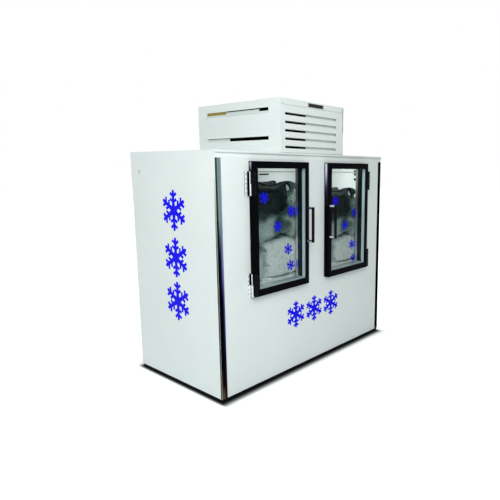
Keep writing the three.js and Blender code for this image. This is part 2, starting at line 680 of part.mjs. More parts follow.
function buildHoodRear(hood) {
  const half = HOOD_HALF - HOOD_SKIN - FIT;
  const plate = block(
    [-half, half],
    [HOOD_REAR - HOOD_SKIN, HOOD_REAR],
    [HOOD_FLOOR, HOOD_TOP - HOOD_SKIN - FIT],
  );
  const middleZ = (ROOF + HOOD_TOP) / 2;
  const slots = [];
  for (let i = 0; i < REAR_SLOTS; i++) {
    const middle = (i - (REAR_SLOTS - 1) / 2) * REAR_SLOT_PITCH;
    slots.push(
      block(
        [middle - REAR_SLOT_WIDTH / 2, middle + REAR_SLOT_WIDTH / 2],
        [HOOD_REAR - 2 * HOOD_SKIN, HOOD_REAR + 1],
        [middleZ - REAR_SLOT_HEIGHT / 2, middleZ + REAR_SLOT_HEIGHT / 2],
      ),
    );
  }
  // The power cord's inlet: a gland with an open bore.
  const gland = [HOOD_HALF - CORD_GLAND_INSET, ROOF + CORD_GLAND_INSET];
  const glandEnd = HOOD_REAR + CORD_GLAND_LENGTH;
  const body = rod("y", CORD_GLAND_RADIUS, [HOOD_REAR - HOOD_SKIN / 2, glandEnd], gland);
  const bore = rod("y", CORD_GLAND_BORE, [HOOD_REAR - 2 * HOOD_SKIN, glandEnd + 1], gland);
  piece(hood, "hood_rear_panel", cut(join(cut(plate, ...slots), body), bore), WHITE_PAINT);
}

function buildLid(hood) {
  const sheet = block([-HOOD_HALF, HOOD_HALF], [HOOD_FRONT, HOOD_REAR], [HOOD_TOP - HOOD_SKIN, HOOD_TOP]);
  const half = HOOD_HALF - HOOD_SKIN - FIT;
  const flangeDepths = [HOOD_FRONT, HOOD_FRONT + HOOD_SKIN];
  const flange = block([-half, half], flangeDepths, [HOOD_TOP - LID_FLANGE, HOOD_TOP]);
  piece(hood, "hood_lid", join(sheet, flange), WHITE_PAINT);
}

// ---------------------------------------------------------------- fans

// Flat blades set at a pitch round a hub, on an axis along Y through the given place.
function fanWheel({ radius, hubRadius, hubLength, chord, bore }) {
  const hub = rod("y", hubRadius, [-hubLength / 2, hubLength / 2], [0, 0]);
  const blades = [];
  for (let i = 0; i < FAN_BLADES; i++) {
    const length = radius - hubRadius / 2;
    const blade = new THREE.BoxGeometry(length, FAN_BLADE_THICKNESS, chord);
    blade.rotateX(FAN_PITCH);
    blade.translate(hubRadius / 2 + length / 2, 0, 0);
    blade.rotateY((i * 2 * Math.PI) / FAN_BLADES);
    blades.push(blade);
  }
  const shaftHole = rod("y", bore, [-hubLength, 0], [0, 0]);
  return cut(join(hub, ...blades), shaftHole.rotateX(Math.PI));
}

// ---------------------------------------------------------------- refrigeration unit

function buildUnit(hood) {
  const half = HOOD_HALF - UNIT_MARGIN;
  const plate = block(
    [-half, half],
    [HOOD_FRONT + UNIT_MARGIN, HOOD_REAR - UNIT_MARGIN],
    [HOOD_FLOOR, HOOD_FLOOR + UNIT_BASE_THICKNESS],
  );
  piece(hood, "unit_base", cut(plate, lineHole([ROOF - 1, ROOF + WALL])), GALVANISED);

  // Condenser: a finned core between two end plates, just behind the front grille.
  const coilSpan = [COIL_OFFSET - COIL_WIDTH / 2, COIL_OFFSET + COIL_WIDTH / 2];
  const coilBack = COIL_FRONT + COIL_DEPTH;
  const core = block(
    [coilSpan[0] + COIL_END_PLATE, coilSpan[1] - COIL_END_PLATE],
    [COIL_FRONT + COIL_END_PLATE / 2, coilBack],
    [UNIT_FLOOR, UNIT_FLOOR + COIL_HEIGHT - COIL_END_PLATE],
  );
  const ends = coilSpan.map((edge, i) =>
    block(
      [edge, edge + (i ? -1 : 1) * (COIL_END_PLATE + 1)],
      [COIL_FRONT, coilBack],
      [UNIT_FLOOR, UNIT_FLOOR + COIL_HEIGHT],
    ),
  );
  piece(hood, "condenser_coil", join(core, ...ends), FIN_ALUMINIUM);

  const shroudBox = block(coilSpan, [SHROUD_FRONT, SHROUD_FRONT + SHROUD_DEPTH], [
    UNIT_FLOOR,
    UNIT_FLOOR + COIL_HEIGHT,
  ]);
  const fanHole = rod(
    "y",
    SHROUD_HOLE_RADIUS,
    [SHROUD_FRONT - 1, SHROUD_FRONT + SHROUD_DEPTH + 1],
    [COIL_OFFSET, FAN_AXIS_Z],
    32,
  );
  piece(hood, "condenser_fan_shroud", cut(shroudBox, fanHole), GALVANISED);

  // Fan motor: its shaft reaches forward into the fan's hub, and its post stands on the base plate.
  const hubBack = SHROUD_FRONT + SHROUD_DEPTH / 2 + FAN_HUB_LENGTH / 2;
  const motorFront = hubBack + MOTOR_SHAFT_LENGTH;
  const motorAxis = [COIL_OFFSET, FAN_AXIS_Z];
  const shaftTip = hubBack - FAN_HUB_LENGTH / 2 + FIT;
  const motor = rod("y", MOTOR_RADIUS, [motorFront, motorFront + MOTOR_LENGTH], motorAxis);
  const shaft = rod("y", MOTOR_SHAFT_RADIUS, [shaftTip, motorFront + 1], motorAxis, 16);
  const post = block(
    [COIL_OFFSET - MOTOR_POST_WIDTH / 2, COIL_OFFSET + MOTOR_POST_WIDTH / 2],
    [motorFront + MOTOR_LENGTH / 4, motorFront + (MOTOR_LENGTH * 3) / 4],
    [UNIT_FLOOR, FAN_AXIS_Z],
  );
  piece(hood, "condenser_fan_motor", join(motor, shaft, post), COMPRESSOR_BLACK);

  const fan = fanWheel({
    radius: FAN_RADIUS,
    hubRadius: FAN_HUB_RADIUS,
    hubLength: FAN_HUB_LENGTH,
    chord: FAN_CHORD,
    bore: MOTOR_SHAFT_RADIUS + FIT,
  });
  const wheel = piece(hood, "condenser_fan", fan, FIN_ALUMINIUM);
  wheel.position.set(COIL_OFFSET, SHROUD_FRONT + SHROUD_DEPTH / 2, FAN_AXIS_Z);

  // Compressor: a domed steel can on a foot plate, with its terminal cover on one side.
  const canFoot = COMPRESSOR_FOOT_THICKNESS / 2;
  const shoulder = COMPRESSOR_HEIGHT - COMPRESSOR_RADIUS / 2;
  const profile = points([
    [0, canFoot],
    [COMPRESSOR_RADIUS * 0.85, canFoot],
    [COMPRESSOR_RADIUS, canFoot + COMPRESSOR_RADIUS * 0.3],
    [COMPRESSOR_RADIUS, shoulder],
    [COMPRESSOR_RADIUS * 0.86, shoulder + COMPRESSOR_RADIUS * 0.3],
    [COMPRESSOR_RADIUS * 0.5, COMPRESSOR_HEIGHT - COMPRESSOR_RADIUS * 0.05],
    [0, COMPRESSOR_HEIGHT],
  ]);
  const can = new THREE.LatheGeometry(profile, 28).rotateX(Math.PI / 2);
  const foot = new THREE.BoxGeometry(COMPRESSOR_FOOT, COMPRESSOR_FOOT, COMPRESSOR_FOOT_THICKNESS);
  foot.translate(0, 0, COMPRESSOR_FOOT_THICKNESS / 2);
  const cover = block(
    [-COMPRESSOR_RADIUS / 3, COMPRESSOR_RADIUS / 3],
    [-COMPRESSOR_RADIUS * 1.2, 0],
    [COMPRESSOR_RADIUS * 0.8, COMPRESSOR_RADIUS * 1.5],
  );
  const compressor = piece(hood, "compressor", join(can, foot, cover), COMPRESSOR_BLACK);
  const compressorY = HOOD_REAR - UNIT_MARGIN - COMPRESSOR_REAR_GAP - COMPRESSOR_FOOT / 2;
  compressor.position.set(COMPRESSOR_X, compressorY, UNIT_FLOOR);

  const boxFront = HOOD_FRONT + BOX_SET;
  const box = block([BOX_X - BOX_WIDTH / 2, BOX_X + BOX_WIDTH / 2], [boxFront, boxFront + BOX_DEPTH], [
    UNIT_FLOOR,
    UNIT_FLOOR + BOX_HEIGHT,
  ]);
  piece(hood, "electrical_box", box, GREY_PLASTIC);

  // Temperature dial on the front of the electrical box: a disc with a grip ridge across it.
  const disc = rod("y", DIAL_RADIUS, [-DIAL_DEPTH / 2, 0], [0, 0]);
  const ridgeHalf = DIAL_RADIUS * 0.9;
  const ridge = block([-DIAL_RIDGE / 2, DIAL_RIDGE / 2], [-DIAL_DEPTH, -1], [-ridgeHalf, ridgeHalf]);
  const dial = piece(hood, "temperature_dial", join(disc, ridge), BLACK_PLASTIC);
  dial.position.set(BOX_X, boxFront - FIT, UNIT_FLOOR + DIAL_HEIGHT);

  // Suction line: straight up from the evaporator through the roof, then over to the compressor.
  const top = ROOF + LINE_TOP;
  const canSide = COMPRESSOR_X + COMPRESSOR_RADIUS + FIT;
  const bend = new THREE.Vector3(LINE_X, LINE_Y, top);
  const bendStart = new THREE.Vector3(LINE_X, LINE_Y, top - LINE_BEND);
  const bendEnd = new THREE.Vector3(LINE_X - LINE_BEND, LINE_Y, top);
  const path = new THREE.CurvePath();
  path.add(new THREE.LineCurve3(new THREE.Vector3(LINE_X, LINE_Y, EVAPORATOR_COIL_TOP + FIT), bendStart));
  path.add(new THREE.QuadraticBezierCurve3(bendStart, bend, bendEnd));
  path.add(new THREE.LineCurve3(bendEnd, new THREE.Vector3(canSide, LINE_Y, top)));
  const section = new THREE.Shape().absarc(0, 0, LINE_RADIUS, 0, 2 * Math.PI);
  const line = new THREE.ExtrudeGeometry(section, { steps: 40, curveSegments: 10, extrudePath: path });
  piece(hood, "suction_line", line, COPPER);
}

// ---------------------------------------------------------------- evaporator

function buildEvaporator(cabinet) {
  const half = EVAPORATOR_WIDTH / 2;
  const floor = EVAPORATOR_FLOOR + EVAPORATOR_WALL;
  const middleZ = (EVAPORATOR_FLOOR + EVAPORATOR_TOP) / 2;
  const motorFront = EVAPORATOR_FRONT + EVAPORATOR_WALL + EVAPORATOR_FAN_GAP + EVAPORATOR_HUB_LENGTH + FIT;

  // Housing: a tray-shaped cover with an open back, a round fan hole in front and a drain spout.
  const shell = block([-half, half], [EVAPORATOR_FRONT, EVAPORATOR_REAR], [EVAPORATOR_FLOOR, EVAPORATOR_TOP]);
  const hollow = block(
    [-half + EVAPORATOR_WALL, half - EVAPORATOR_WALL],
    [EVAPORATOR_FRONT + EVAPORATOR_WALL, EVAPORATOR_REAR + 1],
    [floor, EVAPORATOR_TOP - EVAPORATOR_WALL],
  );
  const fanHole = rod(
    "y",
    EVAPORATOR_FAN_HOLE,
    [EVAPORATOR_FRONT - 1, EVAPORATOR_FRONT + 2 * EVAPORATOR_WALL],
    [0, middleZ],
    32,
  );
  const motorBack = motorFront + EVAPORATOR_MOTOR_LENGTH;
  const motor = rod("y", EVAPORATOR_MOTOR_RADIUS, [motorFront, motorBack], [0, middleZ]);
  const bracket = block(
    [-EVAPORATOR_MOTOR_BRACKET / 2, EVAPORATOR_MOTOR_BRACKET / 2],
    [motorFront + EVAPORATOR_MOTOR_BRACKET / 2, motorBack],
    [EVAPORATOR_FLOOR, EVAPORATOR_TOP],
  );
  const drainAt = [half - 2 * DRAIN_RADIUS, EVAPORATOR_REAR - 2 * DRAIN_RADIUS];
  const spout = rod("z", DRAIN_RADIUS, [EVAPORATOR_FLOOR - DRAIN_LENGTH, floor], drainAt);
  const drain = rod("z", DRAIN_BORE, [EVAPORATOR_FLOOR - 2 * DRAIN_LENGTH, floor + 1], drainAt, 16);
  const pipeHole = lineHole([middleZ, ROOF]);
  const opened = cut(shell, hollow, fanHole);
  const housing = cut(join(opened, motor, bracket, spout), drain, pipeHole);
  piece(cabinet, "evaporator_housing", housing, WHITE_PAINT);

  const coilHalf = half - EVAPORATOR_WALL - EVAPORATOR_COIL_SIDE;
  const coil = block(
    [-coilHalf, coilHalf],
    [EVAPORATOR_COIL_FRONT, EVAPORATOR_COIL_FRONT + EVAPORATOR_COIL_DEPTH],
    [floor + FIT, EVAPORATOR_COIL_TOP],
  );
  piece(cabinet, "evaporator_coil", coil, FIN_ALUMINIUM);

  const fan = fanWheel({
    radius: EVAPORATOR_FAN_RADIUS,
    hubRadius: EVAPORATOR_HUB_RADIUS,
    hubLength: EVAPORATOR_HUB_LENGTH,
    chord: EVAPORATOR_FAN_CHORD,
    bore: MOTOR_SHAFT_RADIUS,
  });
  const wheel = piece(cabinet, "evaporator_fan", fan, GREY_PLASTIC);
  wheel.position.set(0, motorFront - FIT - EVAPORATOR_HUB_LENGTH / 2, middleZ);
}

// ---------------------------------------------------------------- bags of ice

function buildBags(cabinet) {
  const stacks = [
    ["left", LEFT_STACK_X, INSIDE_CEILING - LEFT_STACK_HEADROOM],
    ["right", RIGHT_STACK_X, INSIDE_CEILING - RIGHT_STACK_HEADROOM],
  ];
  for (const [word, x, top] of stacks) {
    const layers = [
      ["lower", INSIDE_FLOOR + FIT, BAG_SPLIT - FIT],
      ["upper", BAG_SPLIT, top],
    ];
    for (const [level, low, high] of layers) {
      const bag = new RoundedBoxGeometry(BAG_WIDTH, BAG_DEPTH, high - low, 2, BAG_ROUNDING);
      const mesh = piece(cabinet, `${word}_${level}_ice_bag`, bag, ICE_BAG);
      mesh.position.set(x, INSIDE_FRONT + BAG_FRONT_GAP + BAG_DEPTH / 2, (low + high) / 2);
    }
  }
}

// ---------------------------------------------------------------- the whole machine

const freezer = new THREE.Group();
const cabinet = new THREE.Group();
const hood = new THREE.Group();
freezer.add(cabinet, hood);

buildBase(cabinet);
buildSkins(cabinet);
buildTrim(cabinet);
buildInsulation(cabinet);
buildLiner(cabinet);
for (const [word, side] of SIDES) {
  const door = new THREE.Group();
  freezer.add(door);
  buildDoor(door, word, side);
  buildHinges(cabinet, door, word, side);
}
buildHoodSides(hood);
buildHoodFront(hood);
buildHoodRear(hood);
buildLid(hood);
buildUnit(hood);
buildEvaporator(cabinet);
buildBags(cabinet);

export default freezer;
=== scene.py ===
# %% [markdown]
# # An ice merchandiser freezer, dressed in Blender
# The machine is a white insulated cabinet with two glazed black doors, polished corner strips and a
# louvred hood over its refrigeration unit. Its measured solids come in first and stay as they are.
# This lesson gives each one a finish, and adds what is too small or too soft for the solids: bags
# of ice, screws and rivets, seams, black sheets of painted shade and the blue signs. Everything is
# in metres, +Z up, and the doors face -Y.

import json
import math
import random

import bpy
from mathutils import Matrix, Vector
from mathutils.bvhtree import BVHTree

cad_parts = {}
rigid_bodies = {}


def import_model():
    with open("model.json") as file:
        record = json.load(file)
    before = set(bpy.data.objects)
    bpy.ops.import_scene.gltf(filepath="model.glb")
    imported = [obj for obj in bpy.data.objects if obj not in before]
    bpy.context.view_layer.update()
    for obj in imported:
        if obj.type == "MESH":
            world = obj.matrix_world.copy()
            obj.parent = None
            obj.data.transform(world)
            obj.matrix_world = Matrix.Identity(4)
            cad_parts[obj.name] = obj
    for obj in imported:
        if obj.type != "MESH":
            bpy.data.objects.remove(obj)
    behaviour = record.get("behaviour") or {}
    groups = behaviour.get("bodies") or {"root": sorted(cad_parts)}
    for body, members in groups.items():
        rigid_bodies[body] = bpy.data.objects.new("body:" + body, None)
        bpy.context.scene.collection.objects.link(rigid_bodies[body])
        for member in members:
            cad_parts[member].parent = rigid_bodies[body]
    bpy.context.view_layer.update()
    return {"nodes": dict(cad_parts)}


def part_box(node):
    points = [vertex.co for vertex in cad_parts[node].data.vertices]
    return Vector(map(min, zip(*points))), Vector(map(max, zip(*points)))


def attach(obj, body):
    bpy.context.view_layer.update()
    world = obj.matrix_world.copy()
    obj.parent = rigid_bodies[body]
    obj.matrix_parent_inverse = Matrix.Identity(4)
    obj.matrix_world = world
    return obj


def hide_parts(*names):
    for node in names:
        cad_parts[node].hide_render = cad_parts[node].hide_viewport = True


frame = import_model()

# %% [markdown]
# ## Small tools for the work
# An operator acts on everything that is selected, so each step starts by letting go of all of it.
# A finished piece keeps its place in its mesh, with the object itself at the origin, so patterns
# that read Object coordinates lie the same way on every piece.

# %% Select, place and start a piece
def let_go():
    bpy.ops.object.select_all(action="DESELECT")


def pick(piece):
    let_go()
    piece.select_set(True)
    bpy.context.view_layer.objects.active = piece


def settle(piece, name=None):
    """Moves the object's place into its mesh and names it."""
    pick(piece)
    bpy.ops.object.transform_apply(location=True, rotation=True, scale=True)
    if name:
        piece.name = piece.data.name = name
    return piece


def start_box(name, low, high):
    """A cube primitive from its lowest to its highest corner."""
    let_go()
    low, high = Vector(low), Vector(high)
    bpy.ops.mesh.primitive_cube_add(size=1, location=(low + high) / 2)
    piece = bpy.context.object
    piece.scale = high - low
    return settle(piece, name)


AXIS_TURN = {"x": (0, math.pi / 2, 0), "y": (math.pi / 2, 0, 0), "z": (0, 0, 0)}


def start_rod(name, axis, radius, depth, middle, sides):
    """A cylinder primitive along one axis."""
    let_go()
    bpy.ops.mesh.primitive_cylinder_add(
        vertices=sides, radius=radius, depth=depth, location=middle, rotation=AXIS_TURN[axis])
    return settle(bpy.context.object, name)


def modify(piece, kind, **settings):
    """Adds a modifier and applies it."""
    pick(piece)
    modifier = piece.modifiers.new(kind.lower(), kind)
    for setting, value in settings.items():
        setattr(modifier, setting, value)
    bpy.ops.object.modifier_apply(modifier=modifier.name)


def soften(piece, width, segments=2, angle=35):
    """Rounds the sharp edges with a bevel and smooths the shading across them."""
    modify(piece, "BEVEL", width=width, segments=segments, limit_method="ANGLE",
           angle_limit=math.radians(angle))
    bpy.ops.object.shade_smooth_by_angle(angle=math.radians(50))
    return piece


def copy_to(piece, name):
    """A copy with a mesh of its own."""
    twin = piece.copy()
    twin.data = piece.data.copy()
    bpy.context.scene.collection.objects.link(twin)
    twin.name = twin.data.name = name
    return twin


def to_side(piece, side):
    """Mirrors a piece that was made for the left door, if the side is the right one."""
    if side > 0:
        piece.data.transform(Matrix.Diagonal((-1, 1, 1, 1)))
        piece.data.flip_normals()
    return piece


def merge(pieces, name):
    """Joins pieces that share a finish into one object."""
    let_go()
    for piece in pieces:
        piece.select_set(True)
    bpy.context.view_layer.objects.active = pieces[0]
    if len(pieces) > 1:
        bpy.ops.object.join()
    pieces[0].name = pieces[0].data.name = name
    return pieces[0]


def choose(piece, kind, test):
    """Opens a piece in edit mode with only the faces, edges or points that pass a test selected."""
    pick(piece)
    bpy.ops.object.mode_set(mode="EDIT")
    bpy.ops.mesh.select_mode(type={"faces": "FACE", "edges": "EDGE", "points": "VERT"}[kind])
    bpy.ops.mesh.select_all(action="DESELECT")
    bpy.ops.object.mode_set(mode="OBJECT")
    shape = piece.data
    parts = {"faces": shape.polygons, "edges": shape.edges, "points": shape.vertices}[kind]
    for part in parts:
        part.select = bool(test(part))
    bpy.ops.object.mode_set(mode="EDIT")


def close_up():
    bpy.ops.object.mode_set(mode="OBJECT")


def face_out():
    """Turns every face outward and leaves edit mode."""
    bpy.ops.mesh.select_all(action="SELECT")
    bpy.ops.mesh.normals_make_consistent(inside=False)
    close_up()


def press_in(piece, facing, border, depth):
    """Insets the faces that look one way and pushes them back, or forward if depth is negative."""
    facing = Vector(facing)
    choose(piece, "faces", lambda face: face.normal.dot(facing) > 0.9)
    bpy.ops.mesh.inset(thickness=border, depth=0)
    bpy.ops.mesh.extrude_region_move(TRANSFORM_OT_translate={"value": facing * -depth})
    close_up()
    return piece


def round_corners(piece, along, radius, segments=4):
    """Rounds the edges that run along one axis."""
    axis = "xyz".index(along)

    def runs_along(edge):
        ends = [piece.data.vertices[i].co for i in edge.vertices]
        span = ends[1] - ends[0]
        return abs(span[axis]) > 0.99 * span.length

    choose(piece, "edges", runs_along)
    bpy.ops.mesh.bevel(offset=radius, segments=segments, affect="EDGES")
    close_up()
    return piece


def fit_out(piece, material, body="cabinet"):
    """Paints a new piece and makes it ride on a body."""
    piece.data.materials.clear()
    piece.data.materials.append(material)
    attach(piece, body)
    return piece


def count(part):
    """How many objects have this in their names."""
    return len([piece for piece in bpy.data.objects if part in piece.name])


# %% [markdown]
# ## The camera
# The photograph was taken from the front left corner, at about the height of the top of the doors.
# The place, the lens and the small shift come from lining up the cabinet's straight edges with it.

# %% Camera
IMAGE = 500
FOCAL_PIXELS = 469.2
PRINCIPAL = (327.4, 247.0)
CAMERA_AT = Vector((-2.7352, -2.7725, 1.5089))
YAW, PITCH, ROLL = (math.radians(a) for a in (51.57, -9.35, 0.33))

view_data = bpy.data.cameras.new("photo_camera")
view_data.sensor_fit = "HORIZONTAL"
view_data.lens = FOCAL_PIXELS / IMAGE * view_data.sensor_width
view_data.shift_x = 0.5 - PRINCIPAL[0] / IMAGE
view_data.shift_y = PRINCIPAL[1] / IMAGE - 0.5
camera = bpy.data.objects.new("photo_camera", view_data)
bpy.context.scene.collection.objects.link(camera)
bpy.context.scene.camera = camera

forward = Vector((math.sin(YAW) * math.cos(PITCH), math.cos(YAW) * math.cos(PITCH),
                  math.sin(PITCH)))
level = Vector((math.cos(YAW), -math.sin(YAW), 0))
upright = level.cross(forward)
right = level * math.cos(ROLL) + upright * math.sin(ROLL)
up = upright * math.cos(ROLL) - level * math.sin(ROLL)
aim = Matrix((right, up, -forward)).transposed().to_4x4()
camera.matrix_world = Matrix.Translation(CAMERA_AT) @ aim
bpy.context.scene.view_settings.view_transform = "Standard"
print("lens", round(view_data.lens, 2), "shift",
      [round(shift, 3) for shift in (view_data.shift_x, view_data.shift_y)])

# %% [markdown]
# ## Floor, backdrop and light
# The photograph is a cut-out on white with a narrow dark shadow under the base. A large pale floor
# takes the shadow, and a painted contact shadow darkens its colour close round the base. The
# camera, mirrors and glass see the world as white. The object is lit by a plain soft level, a large
# window-like lamp from the front left, a softer one from the left, and two small lamps inside the
# cabinet.

# %% Shader nodes
def add_node(tree, kind, inputs=None, **settings):
    """A shader node. Each input takes a constant or the output of another node."""
    node = tree.nodes.new("ShaderNode" + kind)
    for setting, value in settings.items():
        setattr(node, setting, value)
    for socket, value in (inputs or {}).items():
        if isinstance(value, bpy.types.NodeSocket):
            tree.links.new(value, node.inputs[socket])
        else:
            node.inputs[socket].default_value = value
    return node


def calculate(tree, operation, *values):
    sockets = dict(enumerate(values))
    return add_node(tree, "Math", sockets, operation=operation).outputs[0]


def color_ramp(tree, source, stops):
    """Colours by a value: each stop is (position, colour)."""
    ramp = add_node(tree, "ValToRGB", {"Fac": source})
    while len(ramp.color_ramp.elements) < len(stops):
        ramp.color_ramp.elements.new(0.5)
    for element, (position, color) in zip(ramp.color_ramp.elements, stops):
        element.position, element.color = position, (*color, 1)
    return ramp.outputs["Color"]


def axes(tree):
    """The X, Y and Z of a piece's Object coordinates, in metres."""
    return add_node(tree, "SeparateXYZ", {0: add_node(tree, "TexCoord").outputs["Object"]}).outputs


def seen_directly(tree):
    """1 for what the camera, mirrors and glass see, 0 for the light that falls on things."""
    rays = add_node(tree, "LightPath").outputs
    seen = calculate(tree, "MAXIMUM", rays["Is Camera Ray"], rays["Is Glossy Ray"])
    return calculate(tree, "MAXIMUM", seen, rays["Is Transmission Ray"])


# %% Stage
FLOOR_SIZE, FLOOR_GAP, WORLD_LEVEL = 60, 0.0005, 0.36
let_go()
bpy.ops.mesh.primitive_plane_add(size=FLOOR_SIZE, location=(0, 0, -FLOOR_GAP))
floor = settle(bpy.context.object, "studio_floor")

world = bpy.data.worlds.new("studio")
bpy.context.scene.world = world
world.use_nodes = True
tree = world.node_tree
background = tree.nodes["Background"]
background.inputs["Color"].default_value = (1, 1, 1, 1)
strength = add_node(tree, "MapRange", {"To Min": WORLD_LEVEL, "Value": seen_directly(tree)})
tree.links.new(strength.outputs["Result"], background.inputs["Strength"])


def softbox(name, place, target, size, power):
    """A square area lamp that faces a point."""
    lamp = bpy.data.lights.new(name, "AREA")
    lamp.shape, lamp.size, lamp.energy = "SQUARE", size, power
    holder = bpy.data.objects.new(name, lamp)
    bpy.context.scene.collection.objects.link(holder)
    holder.location = place
    holder.rotation_euler = (Vector(target) - Vector(place)).to_track_quat("-Z", "Y").to_euler()
    holder.visible_camera = False
    holder.visible_glossy = "cabin" not in name
    return holder


softbox("key_front_left", (-2.3, -2.9, 2.9), (-0.5, 0, 1.1), 2.2, 94)
softbox("fill_left", (-5.2, 0.4, 2.8), (-0.9, 0, 1.1), 3.0, 52)
softbox("cabin_lamp", (0, -0.30, 1.55), (0, 0.1, 1.3), 0.5, 2.0)
softbox("cabin_lamp_right", (0.48, -0.20, 1.46), (0.80, -0.12, 1.25), 0.16, 1.5)

# %% Floor: white paper, with a painted contact shadow close round the base
BASE_HALF = (0.9235, 0.471, 0.0)
SIDE_FALL = (2.4, 1, 1)
LIFT_REACH = 3.0
LIFTS = [(0.0, 0.005), (0.020, 0.02), (0.050, 0.22), (0.080, 0.42), (0.30, 0.66), (LIFT_REACH, 1.0)]
# The paper's own colour darkens close round the base: a painted contact shadow.
PAINTED_CONTACT_SHADOW = [(0.0, 0.02), (0.014, 0.10), (0.030, 0.24), (0.050, 0.72), (0.075, 1.0)]
PAPER_COLOR = (0.90, 0.95, 0.94)
paper = bpy.data.materials.new("studio_paper")
paper.use_nodes = True
tree = paper.node_tree
tree.nodes.clear()
from_base = add_node(tree, "TexCoord").outputs["Object"]
for operation, other in (("ABSOLUTE", None), ("SUBTRACT", BASE_HALF), ("MAXIMUM", (0, 0, 0)),
                         ("MULTIPLY", SIDE_FALL)):
    sockets = {0: from_base, 1: other} if other else {0: from_base}
    from_base = add_node(tree, "VectorMath", sockets, operation=operation).outputs[0]
away = add_node(tree, "VectorMath", {0: from_base}, operation="LENGTH").outputs["Value"]
away = calculate(tree, "DIVIDE", away, LIFT_REACH)


def by_distance(levels, color=(1, 1, 1)):
    stops = [(reach / LIFT_REACH, tuple(level * c for c in color)) for reach, level in levels]
    return color_ramp(tree, away, stops)


matt = add_node(tree, "BsdfDiffuse", {"Color": by_distance(PAINTED_CONTACT_SHADOW, PAPER_COLOR)}).outputs[0]
lift = add_node(tree, "Emission", {"Strength": by_distance(LIFTS)}).outputs[0]
lifted = add_node(tree, "AddShader", {0: matt, 1: lift}).outputs[0]
choice = add_node(tree, "MixShader", {"Fac": seen_directly(tree), 1: matt, 2: lifted})
add_node(tree, "OutputMaterial", {"Surface": choice.outputs[0]})
floor.data.materials.append(paper)
print("floor:", paper.name)

# %% [markdown]
# ## Finishes
# Every finish starts from one shader whose constants are set straight on it. Over that goes what
# the real surface shows: the faint orange peel of sprayed paint, the brushed grain of steel, the
# spangle of galvanised sheet. The patterns read Object coordinates, which are metres here.

# %% Helpers for finishes
def new_finish(name, color, roughness, metallic=0.0, **sockets):
    material = bpy.data.materials.new(name)
    material.use_nodes = True
    shader = material.node_tree.nodes["Principled BSDF"]
    shader.inputs["Base Color"].default_value = (*color, 1)
    shader.inputs["Roughness"].default_value = roughness
    shader.inputs["Metallic"].default_value = metallic
    for socket, value in sockets.items():
        shader.inputs[socket.replace("_", " ")].default_value = value
    material.diffuse_color = (*color, 1)
    return material


def feed(material, socket, source):
    """Links a value to the finish's shader."""
    material.node_tree.links.new(source, material.node_tree.nodes["Principled BSDF"].inputs[socket])


def pattern(material, kind, scale, stretch=(1, 1, 1), **inputs):
    """A texture node that reads the piece's Object coordinates in metres."""
    tree = material.node_tree
    place = add_node(tree, "TexCoord").outputs["Object"]
    place = add_node(tree, "Mapping", {"Scale": stretch, "Vector": place}).outputs["Vector"]
    return add_node(tree, "Tex" + kind, {"Scale": scale, "Vector": place, **inputs})


def shades(material, source, *stops):
    feed(material, "Base Color", color_ramp(material.node_tree, source, stops))


def gloss(material, source, low, high):
    """Roughness that wanders between two values."""
    sockets = {"To Min": low, "To Max": high, "Value": source}
    span = add_node(material.node_tree, "MapRange", sockets)
    feed(material, "Roughness", span.outputs["Result"])


def relief(material, source, distance):
    """A bump, given by its height in metres."""
    bump = add_node(material.node_tree, "Bump", {"Distance": distance, "Height": source})
    feed(material, "Normal", bump.outputs["Normal"])


def scaled(color, factor):
    return tuple(min(1.0, c * factor) for c in color)


# %% White enamel, outside and inside
def enamel(name, color, roughness):
    """Sprayed enamel: nearly even, with a little orange peel and slow drifts of tone."""
    material = new_finish(name, color, roughness, Specular_IOR_Level=0.3)
    drift = pattern(material, "Noise", 1.7, Detail=3.0)
    shades(material, drift.outputs["Fac"], (0.3, scaled(color, 0.97)), (0.7, scaled(color, 1.02)))
    gloss(material, drift.outputs["Fac"], roughness - 0.04, roughness + 0.05)
    peel = pattern(material, "Noise", 260.0, Detail=2.0)
    relief(material, peel.outputs["Fac"], 0.00012)
    return material


white_enamel = enamel("white_enamel", (0.752, 0.823, 0.808), 0.48)
liner_enamel = enamel("liner_enamel", (0.74, 0.82, 0.80), 0.5)
print("enamels:", white_enamel.name, liner_enamel.name)

# %% Metals
def brushed(name, color, roughness, grain, along):
    """Metal with a fine grain that runs along one axis."""
    material = new_finish(name, color, roughness, 1.0)
    stretch = [1.0, 1.0, 1.0]
    stretch["xyz".index(along)] = 0.02
    lines = pattern(material, "Noise", grain, tuple(stretch), Detail=4.0)
    shades(material, lines.outputs["Fac"], (0.3, scaled(color, 0.88)), (0.7, scaled(color, 1.08)))
    gloss(material, lines.outputs["Fac"], roughness * 0.8, roughness * 1.3)
    relief(material, lines.outputs["Fac"], 0.00004)
    return material


hinge_chrome = brushed("hinge_chrome", (0.72, 0.76, 0.78), 0.18, 600.0, "z")
bright_chrome = brushed("bright_chrome", (0.80, 0.83, 0.86), 0.10, 500.0, "y")
fin_aluminium = brushed("fin_aluminium", (0.62, 0.65, 0.66), 0.35, 300.0, "z")

galvanised = new_finish("galvanised", (0.60, 0.64, 0.66), 0.42, 0.85)
spangle = pattern(galvanised, "Voronoi", 55.0, Randomness=1.0)
shades(galvanised, spangle.outputs["Color"], (0.2, (0.50, 0.54, 0.56)), (0.8, (0.70, 0.74, 0.76)))
gloss(galvanised, spangle.outputs["Distance"], 0.35, 0.52)

copper = new_finish("copper", (0.72, 0.36, 0.20), 0.28, 1.0)
tarnish = pattern(copper, "Noise", 30.0, Detail=5.0)
shades(copper, tarnish.outputs["Fac"], (0.3, (0.46, 0.22, 0.12)), (0.65, (0.80, 0.42, 0.24)))
gloss(copper, tarnish.outputs["Fac"], 0.2, 0.45)
print("metals:", hinge_chrome.name, galvanised.name, copper.name)

# %% Polished corner strips: a painted reflection of the room in their colour, dark below and pale above
ROOF_HEIGHT = 1.625


